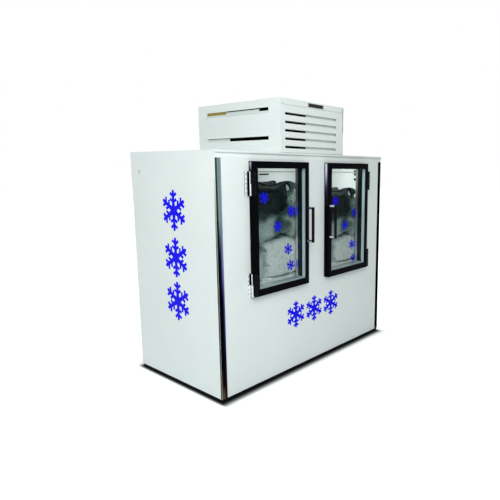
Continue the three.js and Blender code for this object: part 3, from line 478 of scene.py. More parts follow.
def up_ramp(tree, height, stops):
    """A colour by height: stops are (height in metres, colour)."""
    share = add_node(tree, "MapRange", {"From Max": ROOF_HEIGHT, "Value": height})
    stops = [(z / ROOF_HEIGHT, color) for z, color in stops]
    return color_ramp(tree, share.outputs["Result"], stops)


def reflection_painted_steel(name, edge_tint, columns):
    """Polished steel with a painted reflection in its colour, which changes with height and, in
    columns, across the strip.
    """
    material = new_finish(name, (0.1, 0.1, 0.1), 0.22, 1.0, Specular_Tint=(*[edge_tint] * 3, 1))
    tree = material.node_tree
    place = axes(tree)
    (first_x, stops), *others = columns
    color = up_ramp(tree, place["Z"], stops)
    for next_x, stops in others:
        sockets = {"From Min": first_x, "From Max": next_x, "Value": place["X"]}
        across = add_node(tree, "MapRange", sockets, interpolation_type="SMOOTHSTEP")
        sockets = {"Factor": across.outputs["Result"], 6: color,
                   7: up_ramp(tree, place["Z"], stops)}
        color = add_node(tree, "Mix", sockets, data_type="RGBA").outputs[2]
        first_x = next_x
    feed(material, "Base Color", color)
    lines = pattern(material, "Noise", 500.0, (1, 1, 0.01), Detail=3.0)
    gloss(material, lines.outputs["Fac"], 0.16, 0.30)
    return material


BLACK = (0.001, 0.001, 0.0015)
# The stops paint a reflection: the dark floor low down and the pale room higher up.
left_trim_painted_reflection = reflection_painted_steel("left_trim_painted_reflection", 0.3, [
    (-0.924, [(0.0, (0.13, 0.14, 0.11)), (0.09, (0.05, 0.03, 0.02)), (0.25, BLACK), (1.60, BLACK)]),
    (-0.915, [(0.0, (0.10, 0.08, 0.035)), (0.06, (0.06, 0.04, 0.018)),
              (0.12, (0.018, 0.006, 0.003)), (0.25, BLACK), (1.04, BLACK),
              (1.20, (0.012, 0.020, 0.014)), (1.60, (0.055, 0.10, 0.08))]),
    (-0.906, [(0.0, (0.14, 0.11, 0.06)), (0.06, (0.07, 0.04, 0.02)), (0.12, BLACK), (0.98, BLACK),
              (1.10, (0.05, 0.09, 0.07)), (1.20, (0.16, 0.27, 0.20)), (1.60, (0.20, 0.32, 0.27))]),
    (-0.897, [(0.0, (0.02, 0.01, 0.008)), (0.12, (0.006, 0.003, 0.002)),
              (0.70, (0.001, 0.001, 0.006)), (0.82, (0.035, 0.042, 0.09)),
              (1.05, (0.05, 0.075, 0.15)), (1.22, (0.13, 0.20, 0.22)), (1.60, (0.15, 0.24, 0.29))]),
    (-0.888, [(0.0, (0.006, 0.006, 0.006)), (0.30, (0.010, 0.006, 0.03)),
              (0.45, (0.03, 0.022, 0.11)), (0.72, (0.055, 0.048, 0.22)),
              (0.90, (0.16, 0.16, 0.36)), (1.60, (0.25, 0.30, 0.44))]),
])
right_trim_painted_reflection = reflection_painted_steel("right_trim_painted_reflection", 0.1, [
    (0.882, [(0.0, BLACK), (1.60, BLACK)]),
    (0.912, [(0.0, BLACK), (1.10, BLACK), (1.60, (0.006, 0.010, 0.009))]),
    (0.925, [(0.0, (0.020, 0.032, 0.032)), (0.50, (0.016, 0.028, 0.030)),
             (1.10, (0.020, 0.036, 0.036)), (1.60, (0.065, 0.100, 0.095))]),
])
print("corner strips:", left_trim_painted_reflection.name, right_trim_painted_reflection.name)

# %% Coils: thin fins by a bump, with painted shade between them
coil_fins = new_finish("coil_fins", (0.42, 0.44, 0.45), 0.45, 0.9)
fins = pattern(coil_fins, "Wave", 180.0, Distortion=0.0)
fins.wave_type, fins.bands_direction = "BANDS", "X"
# The dark stops are painted shade in the gaps between the fins.
shades(coil_fins, fins.outputs["Fac"], (0.25, (0.03, 0.03, 0.03)), (0.7, (0.55, 0.57, 0.58)))
relief(coil_fins, fins.outputs["Fac"], 0.0008)
print("coil:", coil_fins.name)

# %% Blacks: base, door frames, handle bars, gaskets
def moulded(name, color, roughness, grain_height, level):
    """Moulded plastic or rubber with a fine leathery grain."""
    material = new_finish(name, color, roughness, Specular_IOR_Level=level)
    grain = pattern(material, "Noise", 900.0, Detail=2.0)
    shades(material, grain.outputs["Fac"], (0.3, scaled(color, 0.8)), (0.7, scaled(color, 1.25)))
    gloss(material, grain.outputs["Fac"], roughness * 0.85, roughness * 1.2)
    relief(material, grain.outputs["Fac"], grain_height)
    return material


MOULDED = {
    # name: colour, roughness, height of the grain, shine
    "frame_black": ((0.0016, 0.0016, 0.0024), 0.36, 0.00002, 0.012),
    "handle_black": ((0.002, 0.002, 0.004), 0.36, 0.00003, 0.03),
    "base_black": ((0.004, 0.005, 0.006), 0.6, 0.00008, 0.03),
    "gasket_black": ((0.003, 0.003, 0.003), 0.9, 0.00005, 0.0),
    "unit_black": ((0.020, 0.020, 0.022), 0.45, 0.0001, 0.4),
    "grey_plastic": ((0.30, 0.32, 0.33), 0.45, 0.00006, 0.4),
    "spacer_white": ((0.42, 0.58, 0.60), 0.45, 0.00003, 0.2),
    "hinge_black": ((0.003, 0.003, 0.004), 0.5, 0.00004, 0.03),
}
(frame_black, handle_black, base_black, gasket_black, unit_black, grey_plastic, spacer_white,
 hinge_black) = (moulded(name, *row) for name, row in MOULDED.items())
print("moulded finishes:", len(MOULDED))

# %% Throat strips: steel at the back and on the sill, black where the gasket closes
THROAT_STEEL, STRIPE_BACK, SILL_TOP = (0.80, 0.84, 0.83), -0.437, 0.716
breaker_strip = new_finish("breaker_strip", THROAT_STEEL, 0.16, 1.0)
tree = breaker_strip.node_tree
place = axes(tree)
stripe = calculate(tree, "MULTIPLY", calculate(tree, "LESS_THAN", place["Y"], STRIPE_BACK),
                   calculate(tree, "GREATER_THAN", place["Z"], SILL_TOP))
shades(breaker_strip, stripe, (0.0, THROAT_STEEL), (1.0, (0.002, 0.002, 0.003)))
feed(breaker_strip, "Metallic", calculate(tree, "SUBTRACT", 1.0, stripe))
lines = pattern(breaker_strip, "Noise", 400.0, (1, 1, 0.02), Detail=3.0)
gloss(breaker_strip, lines.outputs["Fac"], 0.32, 0.46)
print("throat strip:", breaker_strip.name)

# %% Foam and glass
foam = new_finish("rigid_foam", (0.78, 0.68, 0.42), 0.9)
cells = pattern(foam, "Voronoi", 700.0)
shades(foam, cells.outputs["Distance"], (0.1, (0.62, 0.52, 0.30)), (0.6, (0.82, 0.73, 0.48)))
relief(foam, cells.outputs["Distance"], 0.0004)

pane_glass = new_finish("pane_glass", (0.02, 0.06, 0.055), 0.02,
                        Alpha=0.02, Specular_IOR_Level=0.03)
wipe = pattern(pane_glass, "Noise", 9.0, (1, 1, 0.3), Detail=3.0)
gloss(pane_glass, wipe.outputs["Fac"], 0.015, 0.05)
print("foam and glass:", foam.name, pane_glass.name)

# %% [markdown]
# ## Dressing the solids
# The measured solids already have the right shape, so they only get a finish. Their faces stay as
# they are. A weld and a small bevel, kept as live modifiers, catch a thin line of light along the
# edges of the larger rigid ones.

# %% Finish for each solid
FINISHES = {
    white_enamel: "left_side_panel right_side_panel top_panel front_panel top_front_cap "
                  "hood_left_panel hood_right_panel hood_front_grille hood_rear_panel hood_lid",
    liner_enamel: "liner_left liner_right liner_rear liner_front liner_ceiling evaporator_housing",
    galvanised: "rear_panel bottom_panel liner_floor unit_base condenser_fan_shroud",
    left_trim_painted_reflection: "left_corner_trim",
    right_trim_painted_reflection: "right_corner_trim",
    base_black: "base_frame",
    foam: "insulation",
    breaker_strip: "left_breaker_frame right_breaker_frame",
    frame_black: "left_door_frame right_door_frame",
    gasket_black: "left_door_gasket right_door_gasket",
    spacer_white: "left_glass_spacer right_glass_spacer",
    pane_glass: "left_outer_glass left_inner_glass right_outer_glass right_inner_glass",
    handle_black: "left_door_handle right_door_handle temperature_dial",
    coil_fins: "condenser_coil evaporator_coil",
    fin_aluminium: "condenser_fan",
    grey_plastic: "electrical_box evaporator_fan",
    unit_black: "compressor condenser_fan_motor",
    copper: "suction_line",
    hinge_black: " ".join(f"{side}_{level}_hinge_{half}" for side in ("left", "right")
                          for level in ("upper", "lower") for half in ("base", "strap")),
}


def dress(name, material):
    node = frame["nodes"][name]
    node.material_slots[0].material = material
    return node


dressed = [dress(name, material) for material, names in FINISHES.items() for name in names.split()]
print("dressed solids:", len(dressed))

# %% Light-catching edges
EDGE_WIDTH = {"left_door_frame": 0.0012, "right_door_frame": 0.0012, "base_frame": 0.002,
              "left_corner_trim": 0.0008, "right_corner_trim": 0.0008, "hood_lid": 0.0004,
              "compressor": 0.003, "left_door_handle": 0.001, "right_door_handle": 0.001}
WELD_REACH, SHARP_ANGLE = 0.00001, math.radians(40)
for name, width in EDGE_WIDTH.items():
    modifiers = frame["nodes"][name].modifiers
    modifiers.new("weld", "WELD").merge_threshold = WELD_REACH
    bevel = modifiers.new("edges", "BEVEL")
    bevel.width, bevel.segments = width, 2
    bevel.limit_method, bevel.angle_limit = "ANGLE", SHARP_ANGLE
print("edges softened on", len(EDGE_WIDTH), "solids")

# %% [markdown]
# ## Bags of ice
# A bag of ice is a film sack, filled, shaken down and tied, so it is a crowned pillow with creases
# at its rims and a gathered neck. The sack starts as a flat envelope on a grid, narrowed to a neck,
# and a short cloth simulation with air pressure inside fills it. Two such bags are made once and
# copied. Each copy is turned into its place in the stack. Where two bags meet, the softer one gives
# way most, and the walls of the space the stack fills flatten what would stick out.

# %% The empty sack
SACK_WIDTH, SACK_HEIGHT, SACK_THICKNESS = 0.42, 0.60, 0.024
NECK_AT, NECK_SHARE, TOP_SHARE = 0.90, 0.16, 0.50
TAPERED, PLUMP = 0.42, 0.74
FOLDS, FOLD_DEPTH = 5, 0.0009


def neck_share(v, shoulder):
    """How wide the sack is at a height from 0 to 1, as a share of its full width."""
    if v < shoulder:
        return 1.0
    if v < NECK_AT:
        t = (v - shoulder) / (NECK_AT - shoulder)
        return 1.0 + (NECK_SHARE - 1.0) * (3 * t * t - 2 * t * t * t)
    t = (v - NECK_AT) / (1 - NECK_AT)
    return NECK_SHARE + (TOP_SHARE - NECK_SHARE) * t


def up_sack(point):
    """A point's height on the sack, from 0 to 1."""
    return point.co.z / SACK_HEIGHT + 0.5


def off_middle(point, shoulder):
    """A point's distance from the sack's middle line, 1 or -1 at its sides."""
    return point.co.x / (SACK_WIDTH / 2 * neck_share(up_sack(point), shoulder))


def empty_sack(name, seed, shoulder):
    let_go()
    bpy.ops.mesh.primitive_grid_add(x_subdivisions=34, y_subdivisions=48, size=1,
                                    rotation=(math.pi / 2, 0, 0))
    sack = settle(bpy.context.object, name)
    sack.scale = (SACK_WIDTH, 1, SACK_HEIGHT)
    settle(sack)
    choose(sack, "faces", lambda face: True)
    bpy.ops.mesh.extrude_region_move(TRANSFORM_OT_translate={"value": (0, SACK_THICKNESS, 0)})
    face_out()
    rng = random.Random(seed)
    folds = [(rng.uniform(14, 40), rng.uniform(0, 6.28), rng.uniform(0.5, 1.0))
             for _ in range(FOLDS)]
    for point in sack.data.vertices:
        v = up_sack(point)
        point.co.x *= neck_share(v, shoulder)
        point.co.y -= SACK_THICKNESS / 2
        for rate, start, share in folds:
            wave = math.sin(rate * point.co.x * 6 + start + 9 * v * share)
            point.co.y += FOLD_DEPTH * share * wave
    return sack


# %% Fill it
FILL_FRAMES, FILL_REACH = 22, 0.11


def fill_sack(sack):
    """Air pressure inside a cloth rounds the sack; no point may move further than the cap."""
    before = [point.co.copy() for point in sack.data.vertices]
    pick(sack)
    cloth = sack.modifiers.new("fill", "CLOTH")
    film = cloth.settings
    film.quality, film.mass, film.time_scale = 6, 0.25, 1.0
    film.tension_stiffness = film.compression_stiffness = 22
    film.shear_stiffness, film.bending_stiffness = 8, 0.35
    film.use_pressure, film.uniform_pressure_force = True, 4.5
    film.effector_weights.gravity = 0
    cloth.point_cache.frame_start, cloth.point_cache.frame_end = 1, FILL_FRAMES
    for step in range(1, FILL_FRAMES + 1):
        bpy.context.scene.frame_set(step)
    bpy.ops.object.modifier_apply(modifier=cloth.name)
    bpy.context.scene.frame_set(1)
    for point, start in zip(sack.data.vertices, before):
        moved = point.co - start
        if moved.length > FILL_REACH:
            point.co = start + moved * (FILL_REACH / moved.length)
    return sack


# %% Gathers, lumps of ice and a finer surface
RIM_SIDE, RIM_FOOT, RIM_TOP = (0.62, 0.30), (0.16, -0.12), (0.76, 0.12)
GATHER_SPAN, GATHER_DEEP, GATHER_WIDE = 0.11, 0.30, 0.14
LUMP_SIZE, LUMP_DEPTH = 0.034, 0.0065


def finish_sack(sack, seed, shoulder):
    rng = random.Random(seed)
    rim = sack.data.attributes.new("rim", "FLOAT", "POINT")
    for point in sack.data.vertices:
        v, u = up_sack(point), abs(off_middle(point, shoulder))
        rises = [(value - start) / span for value, (start, span) in
                 ((u, RIM_SIDE), (v, RIM_FOOT), (v, RIM_TOP))]
        rim.data[point.index].value = max(0.0, min(1.0, max(rises)))
    turns = [(rng.randint(5, 9), rng.uniform(0, 6.28)) for _ in range(3)]
    for point in sack.data.vertices:
        near_neck = math.exp(-((up_sack(point) - NECK_AT) / GATHER_SPAN) ** 2)
        around = math.atan2(point.co.y, point.co.x)
        pull = sum(math.sin(waves * around + start) for waves, start in turns) / len(turns)
        point.co.y *= 1 + GATHER_DEEP * near_neck * pull
        point.co.x *= 1 + GATHER_WIDE * near_neck * pull
    modify(sack, "SUBSURF", levels=1, render_levels=1)
    lumps = bpy.data.textures.new("ice_lumps", "VORONOI")
    lumps.noise_scale, lumps.distance_metric = LUMP_SIZE, "DISTANCE"
    modify(sack, "DISPLACE", texture=lumps, strength=-LUMP_DEPTH, mid_level=0.45)
    bpy.ops.object.shade_smooth()
    return sack


sacks = []
for seed, shoulder in ((11, TAPERED), (23, PLUMP)):
    sack = empty_sack(f"sack_{seed}", seed, shoulder)
    sack = fill_sack(sack)
    sacks.append(finish_sack(sack, seed, shoulder))
    print("sack", seed, "measures", [round(v, 3) for v in sack.dimensions], len(sack.data.polygons))

# %% [markdown]
# ### Stacking
# Each line below is one bag: which sack, where its middle is, how it is turned, and how much it is
# squeezed. The turn about Y leans it, as seen through the door. The front row follows the bags in
# the picture, and a back row and a lower stack stand behind and under it, as in a full machine.

# %% Stacking plan
UPPER_STACK = [
    # name, sack, middle, turn in degrees (x, y, z), squeeze (x, y, z), painted light (below, above)
    ("ice_bag_low_right", 1, (-0.215, -0.312, 0.862), (2, 87, 0), (1.00, 1.05, 0.92), (1.00, 0.86)),
    ("ice_bag_slant", 0, (-0.335, -0.312, 1.118), (2, 102, 0), (0.95, 1.00, 1.14), (0.78, 0.44)),
    ("ice_bag_right", 0, (-0.158, -0.322, 1.196), (2, 20, 0), (0.96, 1.00, 0.88), (0.80, 0.50)),
    ("ice_bag_top", 1, (-0.410, -0.300, 1.274), (2, -92, 0), (0.76, 1.00, 1.08), (0.28, -0.50)),
    ("ice_bag_low_left", 1, (-0.555, -0.318, 0.800), (2, 4, 0), (0.66, 1.00, 0.74), (0.86, 0.78)),
    ("ice_bag_back_top", 1, (-0.300, -0.170, 1.285), (3, 92, 0), (0.84, 1.05, 1.06), (0.00, -0.30)),
    ("ice_bag_back_middle", 0, (-0.330, -0.160, 1.060), (-3, -90, 0), (0.84, 1, 1), (0.50, 0.35)),
    ("ice_bag_back_low", 1, (-0.330, -0.160, 0.860), (2, 90, 0), (0.84, 1, 1), (0.70, 0.50)),
]
LOWER_STACK = [
    ("ice_bag_under_front", 1, (-0.330, -0.312, 0.580), (2, -90, 0), (1.06, 1.1, 1.16), (0.9, 1)),
    ("ice_bag_under_back", 1, (-0.330, -0.155, 0.580), (-2, -90, 0), (1, 1, 1.12), (0.7, 0.8)),
    ("ice_bag_under_middle", 1, (-0.330, -0.240, 0.35), (3, -90, 0), (0.78, 1.7, 1.12), (0.7, 0.8)),
    ("ice_bag_under_low", 0, (-0.330, -0.240, 0.175), (-2, 90, 0), (0.62, 1.7, 1.12), (0.7, 0.8)),
]
UPPER_SHIFT, LOWER_SHIFT = Vector((0.790, 0, -0.070)), Vector((0.775, 0, 0))


def lay_bag(name, which, middle, turn, squeeze, shift):
    bag = copy_to(sacks[which], name)
    about_x, about_y, about_z = (Matrix.Rotation(math.radians(angle), 4, axis)
                                 for angle, axis in zip(turn, "XYZ"))
    twist = about_z @ about_y @ about_x
    place = Matrix.Translation(Vector(middle) + shift)
    bag.data.transform(place @ twist @ Matrix.Diagonal((*squeeze, 1)))
    return bag


# %% Pressing
PRESS_ROUNDS, PRESS_REACH, FIRM_SHARE = 3, 0.12, 0.85
WALL_GAP, WALL_SOFTNESS = 0.0006, (0.012, 0.012, 0.004)
CALM_ROUNDS, CALM_SHARE = 4, 0.4
# Painted shade: how much creases and rims darken the tone, and the heights over which it grows.
CREASE_REACH, PAINTED_CREASE_SHADE, PAINTED_RIM_SHADE = 0.045, 0.42, 0.30
SHADE_FROM_HEIGHT, SHADE_FULL_HEIGHT, SHADE_LEAST_SHARE = 0.80, 1.12, 0.12


def tree_of(bag):
    return BVHTree.FromPolygons([point.co.copy() for point in bag.data.vertices],
                                [tuple(face.vertices) for face in bag.data.polygons])


def press_apart(bags):
    """Points inside another bag move back to its surface, and further where the other is firmer."""
    for _ in range(PRESS_ROUNDS):
        trees = [tree_of(bag) for bag in bags]
        for rank, bag in enumerate(bags):
            for other_rank, tree in enumerate(trees):
                if other_rank == rank:
                    continue
                share = FIRM_SHARE if other_rank < rank else 1 - FIRM_SHARE
                for point in bag.data.vertices:
                    place, normal, *_ = tree.find_nearest(point.co, PRESS_REACH)
                    if place is not None and (point.co - place).dot(normal) < 0:
                        point.co += (place - point.co) * share


def hold_in(bags, node):
    """Flattens softly what would stick out of the space of a node."""
    low, high = (Vector(corner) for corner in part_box(node))
    for bag in bags:
        for point in bag.data.vertices:
            for axis, soft in enumerate(WALL_SOFTNESS):
                value = point.co[axis]
                top, bottom = high[axis] - WALL_GAP, low[axis] + WALL_GAP
                if value > top - soft:
                    point.co[axis] = top - soft * math.exp((top - soft - value) / soft)
                elif value < bottom + soft:
                    point.co[axis] = bottom + soft * math.exp((value - bottom - soft) / soft)
        bag.data.update()


def even_out(bags):
    """Relaxes the points a little where the pressing crowded them."""
    for bag in bags:
        modify(bag, "SMOOTH", factor=CALM_SHARE, iterations=CALM_ROUNDS)


def paint_crease_shade(bags):
    """Paints shade into the tone at rims and creases, most of all high up."""
    trees = [tree_of(bag) for bag in bags]
    for bag in bags:
        tone = bag.data.attributes["tone"].data
        rim = bag.data.attributes["rim"].data
        for point in bag.data.vertices:
            gaps = [tree.find_nearest(point.co, CREASE_REACH)[3]
                    for other, tree in zip(bags, trees) if other is not bag]
            near = min([gap for gap in gaps if gap is not None], default=CREASE_REACH)
            shade_share = min(1.0, max(SHADE_LEAST_SHARE, (point.co.z - SHADE_FROM_HEIGHT) / (SHADE_FULL_HEIGHT - SHADE_FROM_HEIGHT)))
            tone[point.index].value -= shade_share * (PAINTED_CREASE_SHADE * (1 - near / CREASE_REACH) ** 1.5
                                               + PAINTED_RIM_SHADE * rim[point.index].value)


# %% Film and ice
def bagged_ice(name):
    """Clear film on cubes, coloured by a tone that carries painted light and shade: near black
    where shaded, pale where lit.
    """
    material = new_finish(name, (0.35, 0.45, 0.43), 0.3, Specular_IOR_Level=0.08)
    tree = material.node_tree
    tone = add_node(tree, "Attribute", attribute_name="tone").outputs["Fac"]
    blur = pattern(material, "Noise", 9.0, Detail=4.0)
    shaded_ice = color_ramp(tree, calculate(tree, "MULTIPLY_ADD", blur.outputs["Fac"], 0.16, tone), [
        (0.08, (0.001, 0.003, 0.004)), (0.30, (0.016, 0.032, 0.030)), (0.52, (0.085, 0.135, 0.122)),
        (0.76, (0.24, 0.33, 0.31)), (1.00, (0.50, 0.60, 0.58))])
    cubes = pattern(material, "Voronoi", 46.0, Randomness=1.0)
    speck = pattern(material, "Noise", 130.0, Detail=4.0)
    sockets = {"From Min": 0.3, "From Max": 0.7, "To Min": 0.58, "To Max": 1.42}
    grain = add_node(tree, "MapRange", {**sockets, "Value": speck.outputs["Fac"]}).outputs["Result"]
    shade = add_node(tree, "VectorMath", {0: shaded_ice, "Scale": grain}, operation="SCALE")
    feed(material, "Base Color", shade.outputs[0])
    gloss(material, cubes.outputs["Distance"], 0.20, 0.50)
    relief(material, cubes.outputs["Distance"], 0.0018)
    return material


ice_film = bagged_ice("bagged_ice")

# %% Build both stacks
def paint_tone_by_height(bag, below, above):
    """Paints light and shade into the ice's tone, from the bag's lowest to its highest point."""
    heights = [point.co.z for point in bag.data.vertices]
    low, span = min(heights), max(heights) - min(heights)
    tone = bag.data.attributes.new("tone", "FLOAT", "POINT")
    for index, height in enumerate(heights):
        tone.data[index].value = below + (above - below) * (height - low) / span


def build_stack(plan, side, level, shift=Vector()):
    node, bags = f"{side}_{level}_ice_bag", []
    for name, which, middle, turn, squeeze, painted_light in plan:
        bag = lay_bag(f"{side}_{name}", which, middle, turn, squeeze, shift)
        paint_tone_by_height(bag, *painted_light)
        bags.append(bag)
    press_apart(bags)
    hold_in(bags, node)
    even_out(bags)
    paint_crease_shade(bags)
    for bag in bags:
        fit_out(bag, ice_film)
        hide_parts(node)
    return bags


left_upper = build_stack(UPPER_STACK, "left", "upper")
right_upper = build_stack(UPPER_STACK, "right", "upper", UPPER_SHIFT)
left_lower = build_stack(LOWER_STACK, "left", "lower")
right_lower = build_stack(LOWER_STACK, "right", "lower", LOWER_SHIFT)
for sack in sacks:
    bpy.data.objects.remove(sack)
print("bags:", len(left_upper + right_upper + left_lower + right_lower))

# %% [markdown]
# ## Small parts of the hood
# Behind each louvre a pale baffle or a black sheet of painted shade sits close to the sheet, so the
# slots read as black or pale lines and one can't see far in. Thin black strips paint the shadow
# line along the top of some slots. They are thin folded sheets: a box whose face is inset and
# pressed. The screws are copies of one pan head.

# %% Painted-shade sheets and baffles close behind the louvres
# A black for painted shade behind the slots, in openings and in gaps, and for the seams' dark
# joints.
screen_black = moulded("screen_black", (0.0015, 0.0015, 0.002), 0.8, 0.0001, 0.0)
duct_sheet = enamel("duct_sheet", (0.62, 0.70, 0.66), 0.55)
tan_board = moulded("tan_board", (0.30, 0.25, 0.06), 0.8, 0.0001, 0.1)
LEFT, RIGHT, FRONT = (-1, 0, 0), (1, 0, 0), (0, -1, 0)
FRONT_SHEET = (-0.4578, -0.4566)
BACKINGS = {
    # side of the hood: each sheet's name, its span along and up, and its finish
    LEFT: [("left_shade_sheet_low", (-0.366, 0.060), (1.702, 1.752), screen_black),
           ("left_baffle_low", (0.0605, 0.334), (1.702, 1.7350), duct_sheet),
           ("left_shadow_line_low", (0.0605, 0.334), (1.7354, 1.752), screen_black),
           ("left_shade_sheet_high", (-0.366, -0.262), (1.902, 1.952), screen_black),
           ("left_baffle_high", (-0.2615, 0.0955), (1.902, 1.9286), duct_sheet),
           ("left_shadow_line_high", (-0.2615, 0.0955), (1.9290, 1.952), screen_black),
           ("left_board_high", (0.096, 0.334), (1.902, 1.952), tan_board)],
    RIGHT: [("right_shade_sheet_low", (-0.366, 0.334), (1.702, 1.752), screen_black),
            ("right_shade_sheet_high", (-0.366, 0.334), (1.902, 1.952), screen_black)],
    FRONT: [("front_shade_sheet", (-0.330, -0.082), (1.648, 1.920), screen_black),
            ("front_baffle", (-0.0815, 0.285), (1.648, 1.920), duct_sheet)],
}
SIDE_SHEETS = {LEFT: (-0.3540, -0.3528), RIGHT: (0.3528, 0.3540)}
for facing, rows in BACKINGS.items():
    for name, along, upward, material in rows:
        first, second = (along, FRONT_SHEET) if facing == FRONT else (SIDE_SHEETS[facing], along)
        corners = zip(first, second, upward)
        sheet = press_in(start_box(f"hood_{name}", *corners), facing, 0.004, 0.0004)
        fit_out(sheet, material)

# %% Pan-head screws
screw_steel = brushed("screw_steel", (0.35, 0.36, 0.38), 0.3, 900.0, "x")


def pan_head(radius=0.0045, height=0.0022):
    """One screw head that faces -Y, its flat back at Y = 0."""
    head = start_rod("pan_head", "y", radius, height, (0, -height / 2, 0), 16)
    choose(head, "edges", lambda edge: all(
        head.data.vertices[i].co.y < -height * 0.9 for i in edge.vertices))
    bpy.ops.mesh.bevel(offset=height * 0.55, segments=3, affect="EDGES")
    close_up()
    slot = start_box("slot", (-radius, -height * 1.5, -radius * 0.14),
                     (radius, -height * 0.62, radius * 0.14))
    modify(head, "BOOLEAN", operation="DIFFERENCE", object=slot, solver="EXACT")
    bpy.data.objects.remove(slot)
    bpy.ops.object.shade_smooth_by_angle(angle=math.radians(40))
    return head


HEAD, SPIN_STEP = pan_head(), 0.7
LOOK = {"-y": (0, "Z"), "+y": (180, "Z"), "-x": (-90, "Z"), "+x": (90, "Z"), "+z": (-90, "X")}


def screws(name, places, look, material=screw_steel, body="cabinet", size=1.0):
    angle, axis = LOOK[look]
    facing = Matrix.Rotation(math.radians(angle), 4, axis)
    heads = []
    for index, place in enumerate(places):
        twin = copy_to(HEAD, "head")
        spin = Matrix.Rotation(SPIN_STEP * index, 4, "Y")
        twin.data.transform(Matrix.Translation(place) @ facing @ spin @ Matrix.Scale(size, 4))
        heads.append(twin)
    return fit_out(merge(heads, name), material, body)


def spread(low, high, number):
    return [low + (high - low) * i / (number - 1) for i in range(number)]


white_head = enamel("painted_head", (0.66, 0.74, 0.72), 0.45)
PAINTED, BARE = (white_head, "white_paint"), (screw_steel, "galvanised")
SCREWED = {
    # panel: the side it faces, its heads, and their X, Y and Z
    "hood_front": ("-y", PAINTED, (-0.340, 0.340), (-0.4723,), spread(1.645, 1.930, 5)),
    "hood_lid": ("-y", PAINTED, (-0.330, 0.330), (-0.4723,), (1.961,)),
    "hood_left": ("-x", PAINTED, (-0.3563,), spread(-0.440, 0.400, 5), (1.640, 1.975)),
    "hood_right": ("+x", PAINTED, (0.3563,), spread(-0.440, 0.400, 5), (1.640, 1.975)),
    "hood_rear": ("+y", BARE, (-0.335, 0.335), (0.4333,), spread(1.650, 1.970, 4)),
    "hood_roof": ("+z", PAINTED, (-0.335, 0.335), spread(-0.440, 0.400, 4), (1.9933,)),
    "rear_panel": ("+y", BARE, (-0.905, -0.45, 0, 0.45, 0.905), (0.4753,), spread(0.060, 1.590, 6)),
}
for panel, (look, (material, slot), *rows) in SCREWED.items():
    places = [(x, y, z) for x in rows[0] for z in rows[2] for y in rows[1]]
    screws(f"{panel}_screws", places, look, material)
print("screw sets:", count("_screws"))

# %% [markdown]
# ### Nameplate and sealant
# The hood's lid carries a small black plate between two rivets. It is left blank. Beads of white
# sealant close the hood's foot. A bead is a thin rod, cut flat where it sits.

# %% Nameplate, blank
plate_black = moulded("plate_black", (0.003, 0.003, 0.004), 0.30, 0.00003, 0.2)
nameplate = start_box("nameplate", (-0.068, -0.4740, 1.957), (0.104, -0.4723, 1.983))
round_corners(nameplate, "y", 0.003)
press_in(nameplate, FRONT, 0.0018, 0.0004)
fit_out(nameplate, plate_black)
screws("nameplate_rivets", [(-0.062, -0.4737, 1.970), (0.098, -0.4737, 1.970)], "-y", hinge_chrome,
       size=0.5)

# %% Sealant beads round the hood's foot
sealant = moulded("sealant", (0.70, 0.76, 0.74), 0.6, 0.0003, 0.2)
HOOD_FOOT = 1.6291


def bead(axis, x, y, length, radius=0.0035):
    """A bead in a corner: its back sits on the surfaces it seals."""
    middle = (x, y, HOOD_FOOT)
    rod = start_rod("bead", axis, radius, length, middle, 12)
    choose(rod, "faces", lambda face: True)
    bpy.ops.mesh.bisect(plane_co=middle, plane_no=(1, 0, 0) if axis == "y" else (0, 1, 0))
    close_up()
    return soften(rod, 0.0012)


foot = [bead("y", -0.3600, -0.02, 0.90), bead("y", 0.3600, -0.02, 0.90),
        bead("x", 0, -0.4762, 0.70), bead("x", 0, 0.4372, 0.70)]
fit_out(merge(foot, "hood_foot_sealant"), sealant)
print("nameplate and sealant done")

# %% [markdown]
# ## Hinges and handles
# The hinges are dark steel with a bright cover half round the knuckle and over the leaf on the
# cabinet. The knuckle's lower half belongs to the cabinet and its upper half to the door, so the
# cover is in two halves that turn past each other. The handles are black bars whose posts wear
# bright sleeves that flare at the door. The sleeve is a tube with its end flared, and the cover is
# a strip spun round the hinge pin.

# %% Hinge covers
cover_white = enamel("hinge_cover_white", (0.80, 0.84, 0.86), 0.30)
for word in ("left", "right"):
    dress(f"{word}_lower_hinge_base", hinge_chrome)
HINGE_X, HINGE_Y, HINGE_TALL = 0.6675, -0.5030, 0.156
COVER_IN, BASE_COVER_OUT, STRAP_COVER_OUT = 0.0077, 0.0081, 0.0086
COVER_START, COVER_SWEEP, COVER_EDGE = 82, -152, 0.0003
END_GAP, SEAM_BELOW, SEAM_ABOVE, SCREW_MARGIN = 0.001, 0.0005, 0.0008, 0.018


def hinge_cover(name, low, high, outer, side):
    """A half-round shell: a narrow upright face spun from behind the pin to its front."""
    let_go()
    bpy.ops.mesh.primitive_plane_add(size=1)
    strip = bpy.context.object
    strip.scale = (outer - COVER_IN, high - low, 1)
    strip.rotation_euler = (math.pi / 2, 0, 0)
    settle(strip, name)
    strip.data.transform(Matrix.Translation(((COVER_IN + outer) / 2, 0, (low + high) / 2)))
    strip.data.transform(Matrix.Rotation(math.radians(COVER_START), 4, "Z"))
    choose(strip, "faces", lambda face: True)
    bpy.ops.mesh.spin(steps=18, angle=math.radians(COVER_SWEEP), center=(0, 0, 0), axis=(0, 0, 1))
    bpy.ops.mesh.select_all(action="SELECT")
    bpy.ops.mesh.remove_doubles(threshold=0.00001)
    face_out()
    strip.data.transform(Matrix.Translation((-HINGE_X, HINGE_Y, 0)))
    return soften(to_side(strip, side), min(COVER_EDGE, (outer - COVER_IN) / 3))


def leaf_cover(low, high, side):
    leaf = start_box("leaf", (-0.6985, -0.4806, low), (-0.6790, -0.4796, high))
    return soften(to_side(round_corners(leaf, "y", 0.004), side), COVER_EDGE)


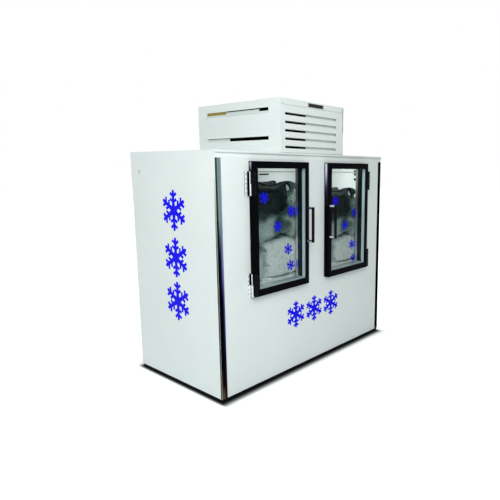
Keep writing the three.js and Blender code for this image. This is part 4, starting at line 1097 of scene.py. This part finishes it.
for side, word in ((-1, "left"), (1, "right")):
    for level, foot in (("upper", 1.340), ("lower", 0.670)):
        hinge, door = f"{word}_{level}_hinge", f"{word}_door"
        middle, top = foot + HINGE_TALL / 2, foot + HINGE_TALL
        shell = hinge_cover("cover", foot + END_GAP, middle - SEAM_BELOW, BASE_COVER_OUT, side)
        cover = merge([shell, leaf_cover(foot - END_GAP, top + END_GAP, side)], f"{hinge}_cover")
        fit_out(cover, cover_white)
        shell = hinge_cover(f"{hinge}_strap_cover", middle + SEAM_ABOVE, top - END_GAP,
                            STRAP_COVER_OUT, side)
        fit_out(shell, cover_white, door)
        for half, x, y, number, body in (("leaf", 0.6880, -0.4808, 5, "cabinet"),
                                         ("strap", 0.6500, -0.5265, 4, door)):
            heights = spread(foot + SCREW_MARGIN, top - SCREW_MARGIN, number)
            places = [(side * x, y, z) for z in heights]
            screws(f"{hinge}_{half}_screws", places, "-y", plate_black, body, 0.8)
print("hinge covers:", count("_cover"))

# %% Sleeves on the handle posts
SLEEVE_RADIUS, SLEEVE_WALL, SLEEVE_LENGTH = 0.0084, 0.0010, 0.043
POST_X, POST_INSET, POST_Y, DOOR_FACE, FLARE = 0.1345, 0.008, -0.5455, -0.524, 1.35


def post_sleeve(x, z):
    """A tube round a post, flared where it meets the door."""
    sleeve = start_rod("sleeve", "y", SLEEVE_RADIUS, SLEEVE_LENGTH, (0, POST_Y, 0), 32)
    choose(sleeve, "faces", lambda face: abs(face.normal.y) > 0.9)
    bpy.ops.mesh.inset(thickness=SLEEVE_WALL, depth=0)
    bpy.ops.mesh.delete(type="FACE")
    close_up()
    bore = SLEEVE_RADIUS - SLEEVE_WALL / 2
    inner = {v.index for v in sleeve.data.vertices if Vector((v.co.x, v.co.z)).length < bore}
    choose(sleeve, "points", lambda point: point.index in inner)
    bpy.ops.mesh.bridge_edge_loops()
    close_up()
    choose(sleeve, "points", lambda point: point.co.y > DOOR_FACE - 0.002)
    bpy.ops.transform.resize(value=(FLARE, 1, FLARE), center_override=(0, DOOR_FACE, 0))
    close_up()
    sleeve.data.transform(Matrix.Translation((x, 0, z)))
    return sleeve


for side, word in ((-1, "left"), (1, "right")):
    low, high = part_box(f"{word}_door_handle")
    ends = [post_sleeve(side * POST_X, z) for z in (low[2] + POST_INSET, high[2] - POST_INSET)]
    fit_out(merge(ends, f"{word}_handle_sleeves"), bright_chrome, f"{word}_door")
print("pairs of sleeves:", count("_sleeves"))

# %% [markdown]
# ## Inside the cabinet
# Through the doors one sees the front of the evaporator: a plain white cover with a fold across it
# and one short outlet. On the right wall is a small vertical row of square vents. The outlet and
# the vents are filled with black, painted shade for the dark inside them.

# %% Evaporator cover
cover_sheet = start_box("evaporator_front_cover",
                        (-0.470, -0.0750, 1.400), (0.470, -0.0615, 1.5600))
choose(cover_sheet, "faces", lambda face: True)
bpy.ops.mesh.bisect(plane_co=(0, 0, 1.4905), plane_no=(0, 0, 1))
close_up()
choose(cover_sheet, "points", lambda point: point.co.y < -0.07 and point.co.z > 1.48)
bpy.ops.transform.translate(value=(0, 0.004, 0))
close_up()
soften(cover_sheet, 0.0012, 2, 10)
fit_out(cover_sheet, liner_enamel)


def inner_seam(name, low, high, facing, border):
    seam = press_in(start_box(name, low, high), facing, border, 0.0002)
    fit_out(seam, screen_black)


inner_seam("evaporator_seam", (-0.468, -0.0757, 1.4885), (0.468, -0.0752, 1.4922), FRONT, 0.0006)
outlet = start_box("evaporator_outlet", (-0.188, -0.0800, 1.4660), (-0.091, -0.0752, 1.4760))
press_in(round_corners(outlet, "y", 0.002), FRONT, 0.0012, 0.0020)
fit_out(outlet, screen_black)
screws("evaporator_cover_screws", [(x, -0.0753, 1.412) for x in (-0.455, -0.23, 0.23, 0.455)], "-y")

# %% Square vents on the right wall
vents = []
for height, half in ((1.498, 0.007), (1.468, 0.010), (1.421, 0.010)):
    vent = start_box("vent", (0.8630, -0.250, height - half), (0.8672, -0.226, height + half))
    round_corners(vent, "x", 0.003)
    vents.append(press_in(vent, LEFT, 0.002, 0.0015))
fit_out(merge(vents, "right_wall_vents"), screen_black)
inner_seam("right_wall_seam", (0.8664, -0.410, 1.4850), (0.8672, 0.410, 1.4885), LEFT, 0.0005)
print("inside parts:", count("evaporator_"), "and", count("right_wall_"))

# %% [markdown]
# ## Side plug
# A round plug near the top of the left side closes the hole through which the foam was poured.

# %% Foam plug
plug = start_rod("foam_plug", "x", 0.014, 0.0022, (-0.9289, 0.3655, 1.4877), 32)
press_in(soften(plug, 0.0008, 3), LEFT, 0.004, 0.0006)
fit_out(plug, white_head)

# %% [markdown]
# ## Blue signs
# The photograph's blue signs stand for what the machine holds. Here a plain six-armed snowflake
# takes each of their places, at their size and in their blue. A circle primitive gives the ring of
# points. Each point is set to its place on the outline, and the face is filled and made a film.

# %% Snowflake outline
sign_blue = moulded("sign_blue", (0.010, 0.005, 0.90), 0.45, 0.00001, 0.05)


def arm_outline(half_width=0.085, hub=0.20):
    """Half of one arm, from its tip to the valley beside it, for a snowflake of radius 1."""
    lean = math.radians(60)
    points = [(1.0, 0.0), (0.985, half_width * 0.7), (0.95, half_width)]
    for root, reach in ((0.72, 0.24), (0.44, 0.24)):
        along = Vector((math.cos(lean), math.sin(lean)))
        side = Vector((-along.y, along.x)) * half_width * 0.85
        foot = Vector((root, half_width * 0.6))
        tip = foot + along * reach
        outer, inner = foot - side, foot + side
        points += [tuple(outer + along * 0.09), tuple(tip - side), tuple(tip + side),
                   tuple(inner + along * 0.02)]
    valley = math.radians(30)
    points.append((hub * math.cos(valley) * 1.25, hub * math.sin(valley) * 1.25))
    return points


def turned(x, y, angle):
    """A point turned round the origin."""
    return x * math.cos(angle) - y * math.sin(angle), x * math.sin(angle) + y * math.cos(angle)


HALF_ARM = arm_outline()
ARM = [(x, -y) for x, y in reversed(HALF_ARM[1:-1])] + HALF_ARM
RING = [turned(x, y, math.radians(60 * arm)) for arm in range(6) for x, y in ARM]


def flat_snowflake(name, radius, thickness, tilt=0.0):
    """A snowflake film that faces -Y, its middle at the origin."""
    let_go()
    bpy.ops.mesh.primitive_circle_add(vertices=len(RING), radius=1, rotation=(math.pi / 2, 0, 0))
    film = settle(bpy.context.object, name)
    for point, (x, z) in zip(film.data.vertices, RING):
        x, z = turned(x, z, math.radians(30 + tilt))
        point.co = (radius * x, 0, radius * z)
    choose(film, "edges", lambda edge: True)
    bpy.ops.mesh.edge_face_add()
    bpy.ops.mesh.extrude_region_move(TRANSFORM_OT_translate={"value": (0, -thickness, 0)})
    face_out()
    return film


# %% Signs on the left side and the front
SIGN_FILM = 0.0003


def sign_row(name, radius, places, turn):
    """Films of one size on a panel, joined into one piece."""
    films = [flat_snowflake("sign", radius, SIGN_FILM) for _ in places]
    for film, place in zip(films, places):
        film.data.transform(Matrix.Translation(place) @ Matrix.Rotation(turn, 4, "Z"))
    fit_out(merge(films, name), sign_blue)


sign_row("left_side_signs", 0.138, [(-0.9276, -0.030, z) for z in (1.235, 0.916, 0.612)],
         -math.pi / 2)
sign_row("front_signs", 0.104, [(x, -0.4751, 0.434) for x in (-0.215, -0.0035, 0.208)], 0)
print("snowflake outline points:", len(RING))

# %% Prints on the bags
FRONT_PRINTS = [  # x, height and tilt in degrees
    (-0.455, 1.314, 8), (-0.180, 1.205, -6), (-0.325, 1.103, 25),
    (-0.217, 0.925, 4), (-0.192, 0.800, 12)]
PRINT_RADIUS, PRINT_GAP, PRINT_FILM = 0.044, 0.0012, 0.0003
RAY_START, RAY_REACH, NO_BAG = -0.46, 0.3, -0.39


def print_on(name, x, z, tilt, trees):
    """A small snowflake whose points are dropped straight back, along Y, onto the nearest bag."""
    flake = flat_snowflake(name, PRINT_RADIUS, PRINT_FILM, tilt)
    choose(flake, "faces", lambda face: face.normal.y < -0.9)
    bpy.ops.mesh.select_all(action="INVERT")
    bpy.ops.mesh.delete(type="FACE")
    bpy.ops.mesh.select_all(action="SELECT")
    bpy.ops.mesh.quads_convert_to_tris()
    bpy.ops.mesh.subdivide(number_cuts=1)
    close_up()
    for point in flake.data.vertices:
        start = Vector((x + point.co.x, RAY_START, z + point.co.z))
        hits = [tree.ray_cast(start, Vector((0, 1, 0)), RAY_REACH)[0] for tree in trees]
        depths = [hit.y for hit in hits if hit is not None] or [NO_BAG]
        point.co = (start.x, min(depths) - PRINT_GAP, start.z)
    modify(flake, "SOLIDIFY", thickness=PRINT_FILM, offset=1.0)
    bpy.ops.object.shade_smooth_by_angle(angle=math.radians(60))
    return flake


for word, stack, shift in (("left", left_upper, Vector()), ("right", right_upper, UPPER_SHIFT)):
    trees = [tree_of(bag) for bag in stack]
    for number, (x, z, tilt) in enumerate(FRONT_PRINTS, 1):
        x, z = x + shift.x * 1.03, z + shift.z * 0.9
        flake = print_on(f"{word}_bag_print_{number}", x, z, tilt, trees)
        fit_out(flake, sign_blue)
print("bag prints:", count("_bag_print_"))

# %% [markdown]
# ## Gasket wings
# The magnetic gasket has a soft black wing that reaches out to the edge of the door and hides the
# gap behind it. It is a ring: a box whose two large faces are inset, opened and bridged.

# %% Gasket wings
WING_WIDTH, WING_GAP = 0.005, 0.0004


def ring_plate(name, low, high, border):
    """A flat ring that faces -Y."""
    ring = start_box(name, low, high)
    choose(ring, "faces", lambda face: abs(face.normal.y) > 0.9)
    bpy.ops.mesh.inset(thickness=border, depth=0)
    bpy.ops.mesh.delete(type="FACE")
    close_up()
    edge = border / 2
    inside = {v.index for v in ring.data.vertices
              if all(low[axis] + edge < v.co[axis] < high[axis] - edge for axis in (0, 2))}
    choose(ring, "points", lambda point: point.index in inside)
    bpy.ops.mesh.bridge_edge_loops()
    face_out()
    return soften(ring, 0.0006)


for word in ("left", "right"):
    low, high = (Vector(corner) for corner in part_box(f"{word}_door_frame"))
    gasket_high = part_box(f"{word}_door_gasket")[1][1]
    wing = ring_plate(f"{word}_gasket_wing", (low.x, high.y + WING_GAP, low.z),
                      (high.x, gasket_high, high.z), WING_WIDTH)
    fit_out(wing, gasket_black, f"{word}_door")
print("gasket wings:", count("_wing"))

# %% [markdown]
# ## Edges that catch the light
# The sides of the doors are black vinyl. Near the top they carry a painted sheen, a pale bluish
# upright streak of reflected light. It is a thin film whose tone follows its height. Beside the
# steel strip at the corner of the left side panel, a dark film paints the shade of the gap there,
# painted paler higher up.

# %% Thin films on edges
def edge_finish(name, color, roughness, scuff, low_gloss):
    """A finish with little shine and upright scuffs, whose tone is linked to it afterwards."""
    material = new_finish(name, color, roughness, Specular_IOR_Level=0.1)
    scuffs = pattern(material, "Noise", *scuff, Detail=3.0)
    gloss(material, scuffs.outputs["Fac"], low_gloss, 0.45)
    return material, material.node_tree, axes(material.node_tree)


def painted_sheen_edge(name, full_at, gone_at):
    """Black vinyl with a painted pale sheen above and towards the front."""
    material, tree, place = edge_finish(name, (0.3, 0.32, 0.4), 0.3, (120.0, (1, 1, 0.1)), 0.25)
    sockets = {"From Min": gone_at, "From Max": full_at, "Value": place["Z"]}
    sheen_rise = add_node(tree, "MapRange", sockets, interpolation_type="SMOOTHSTEP")
    fade = add_node(tree, "MapRange", {"From Min": -0.514, "From Max": -0.498, "Value": place["Y"]})
    painted_sheen = calculate(tree, "MULTIPLY", sheen_rise.outputs["Result"], fade.outputs["Result"])
    shades(material, painted_sheen, (0.0, (0.001, 0.001, 0.003)), (0.35, (0.03, 0.03, 0.09)),
           (0.7, (0.28, 0.30, 0.42)), (1.0, (0.66, 0.70, 0.78)))
    return material


def edge_strip(name, low, high, material, body):
    fit_out(round_corners(start_box(name, low, high), "x", 0.003), material, body)


edge_strip("left_door_edge", (-0.6592, -0.5020, 1.5010), (-0.6588, -0.4850, 1.5560),
           painted_sheen_edge("left_door_edge_painted_sheen", 1.60, 1.44), "left_door")
edge_strip("right_door_edge", (0.1158, -0.5190, 1.2300), (0.1162, -0.4850, 1.5560),
           painted_sheen_edge("right_door_edge_painted_sheen", 1.53, 1.27), "right_door")
# A dark film of painted shade for the gap beside the left corner strip, painted paler higher up.
side_gap_shade, tree, place = edge_finish("edge_film", (0.02, 0.02, 0.03), 0.35,
                                     (300.0, (1, 1, 0.05)), 0.30)
feed(side_gap_shade, "Base Color", up_ramp(tree, place["Z"], [
    (0.0, (0.005, 0.005, 0.006)), (0.75, (0.006, 0.006, 0.010)), (1.0, (0.07, 0.08, 0.10)),
    (1.25, (0.30, 0.34, 0.34)), (1.46, (0.62, 0.68, 0.67))]))
edge_strip("left_side_edge", (-0.9279, -0.4748, 0.0290), (-0.9276, -0.4625, 1.4600),
           side_gap_shade, "cabinet")

# A thin black strip down the hood's right front corner paints the shadow in the gap there.
strips = [start_box("strip", (0.3500, -0.4730, low), (edge, -0.4723, high))
          for low, high, edge in ((1.8000, 1.9480, 0.3542), (1.9520, 1.9880, 0.3550))]
strips = [round_corners(strip, "y", 0.001) for strip in strips]
fit_out(merge(strips, "hood_corner_strip"), screen_black)
print("edge strips:", count("_edge"), "and", count("_corner_strip"))

bpy.data.objects.remove(HEAD)
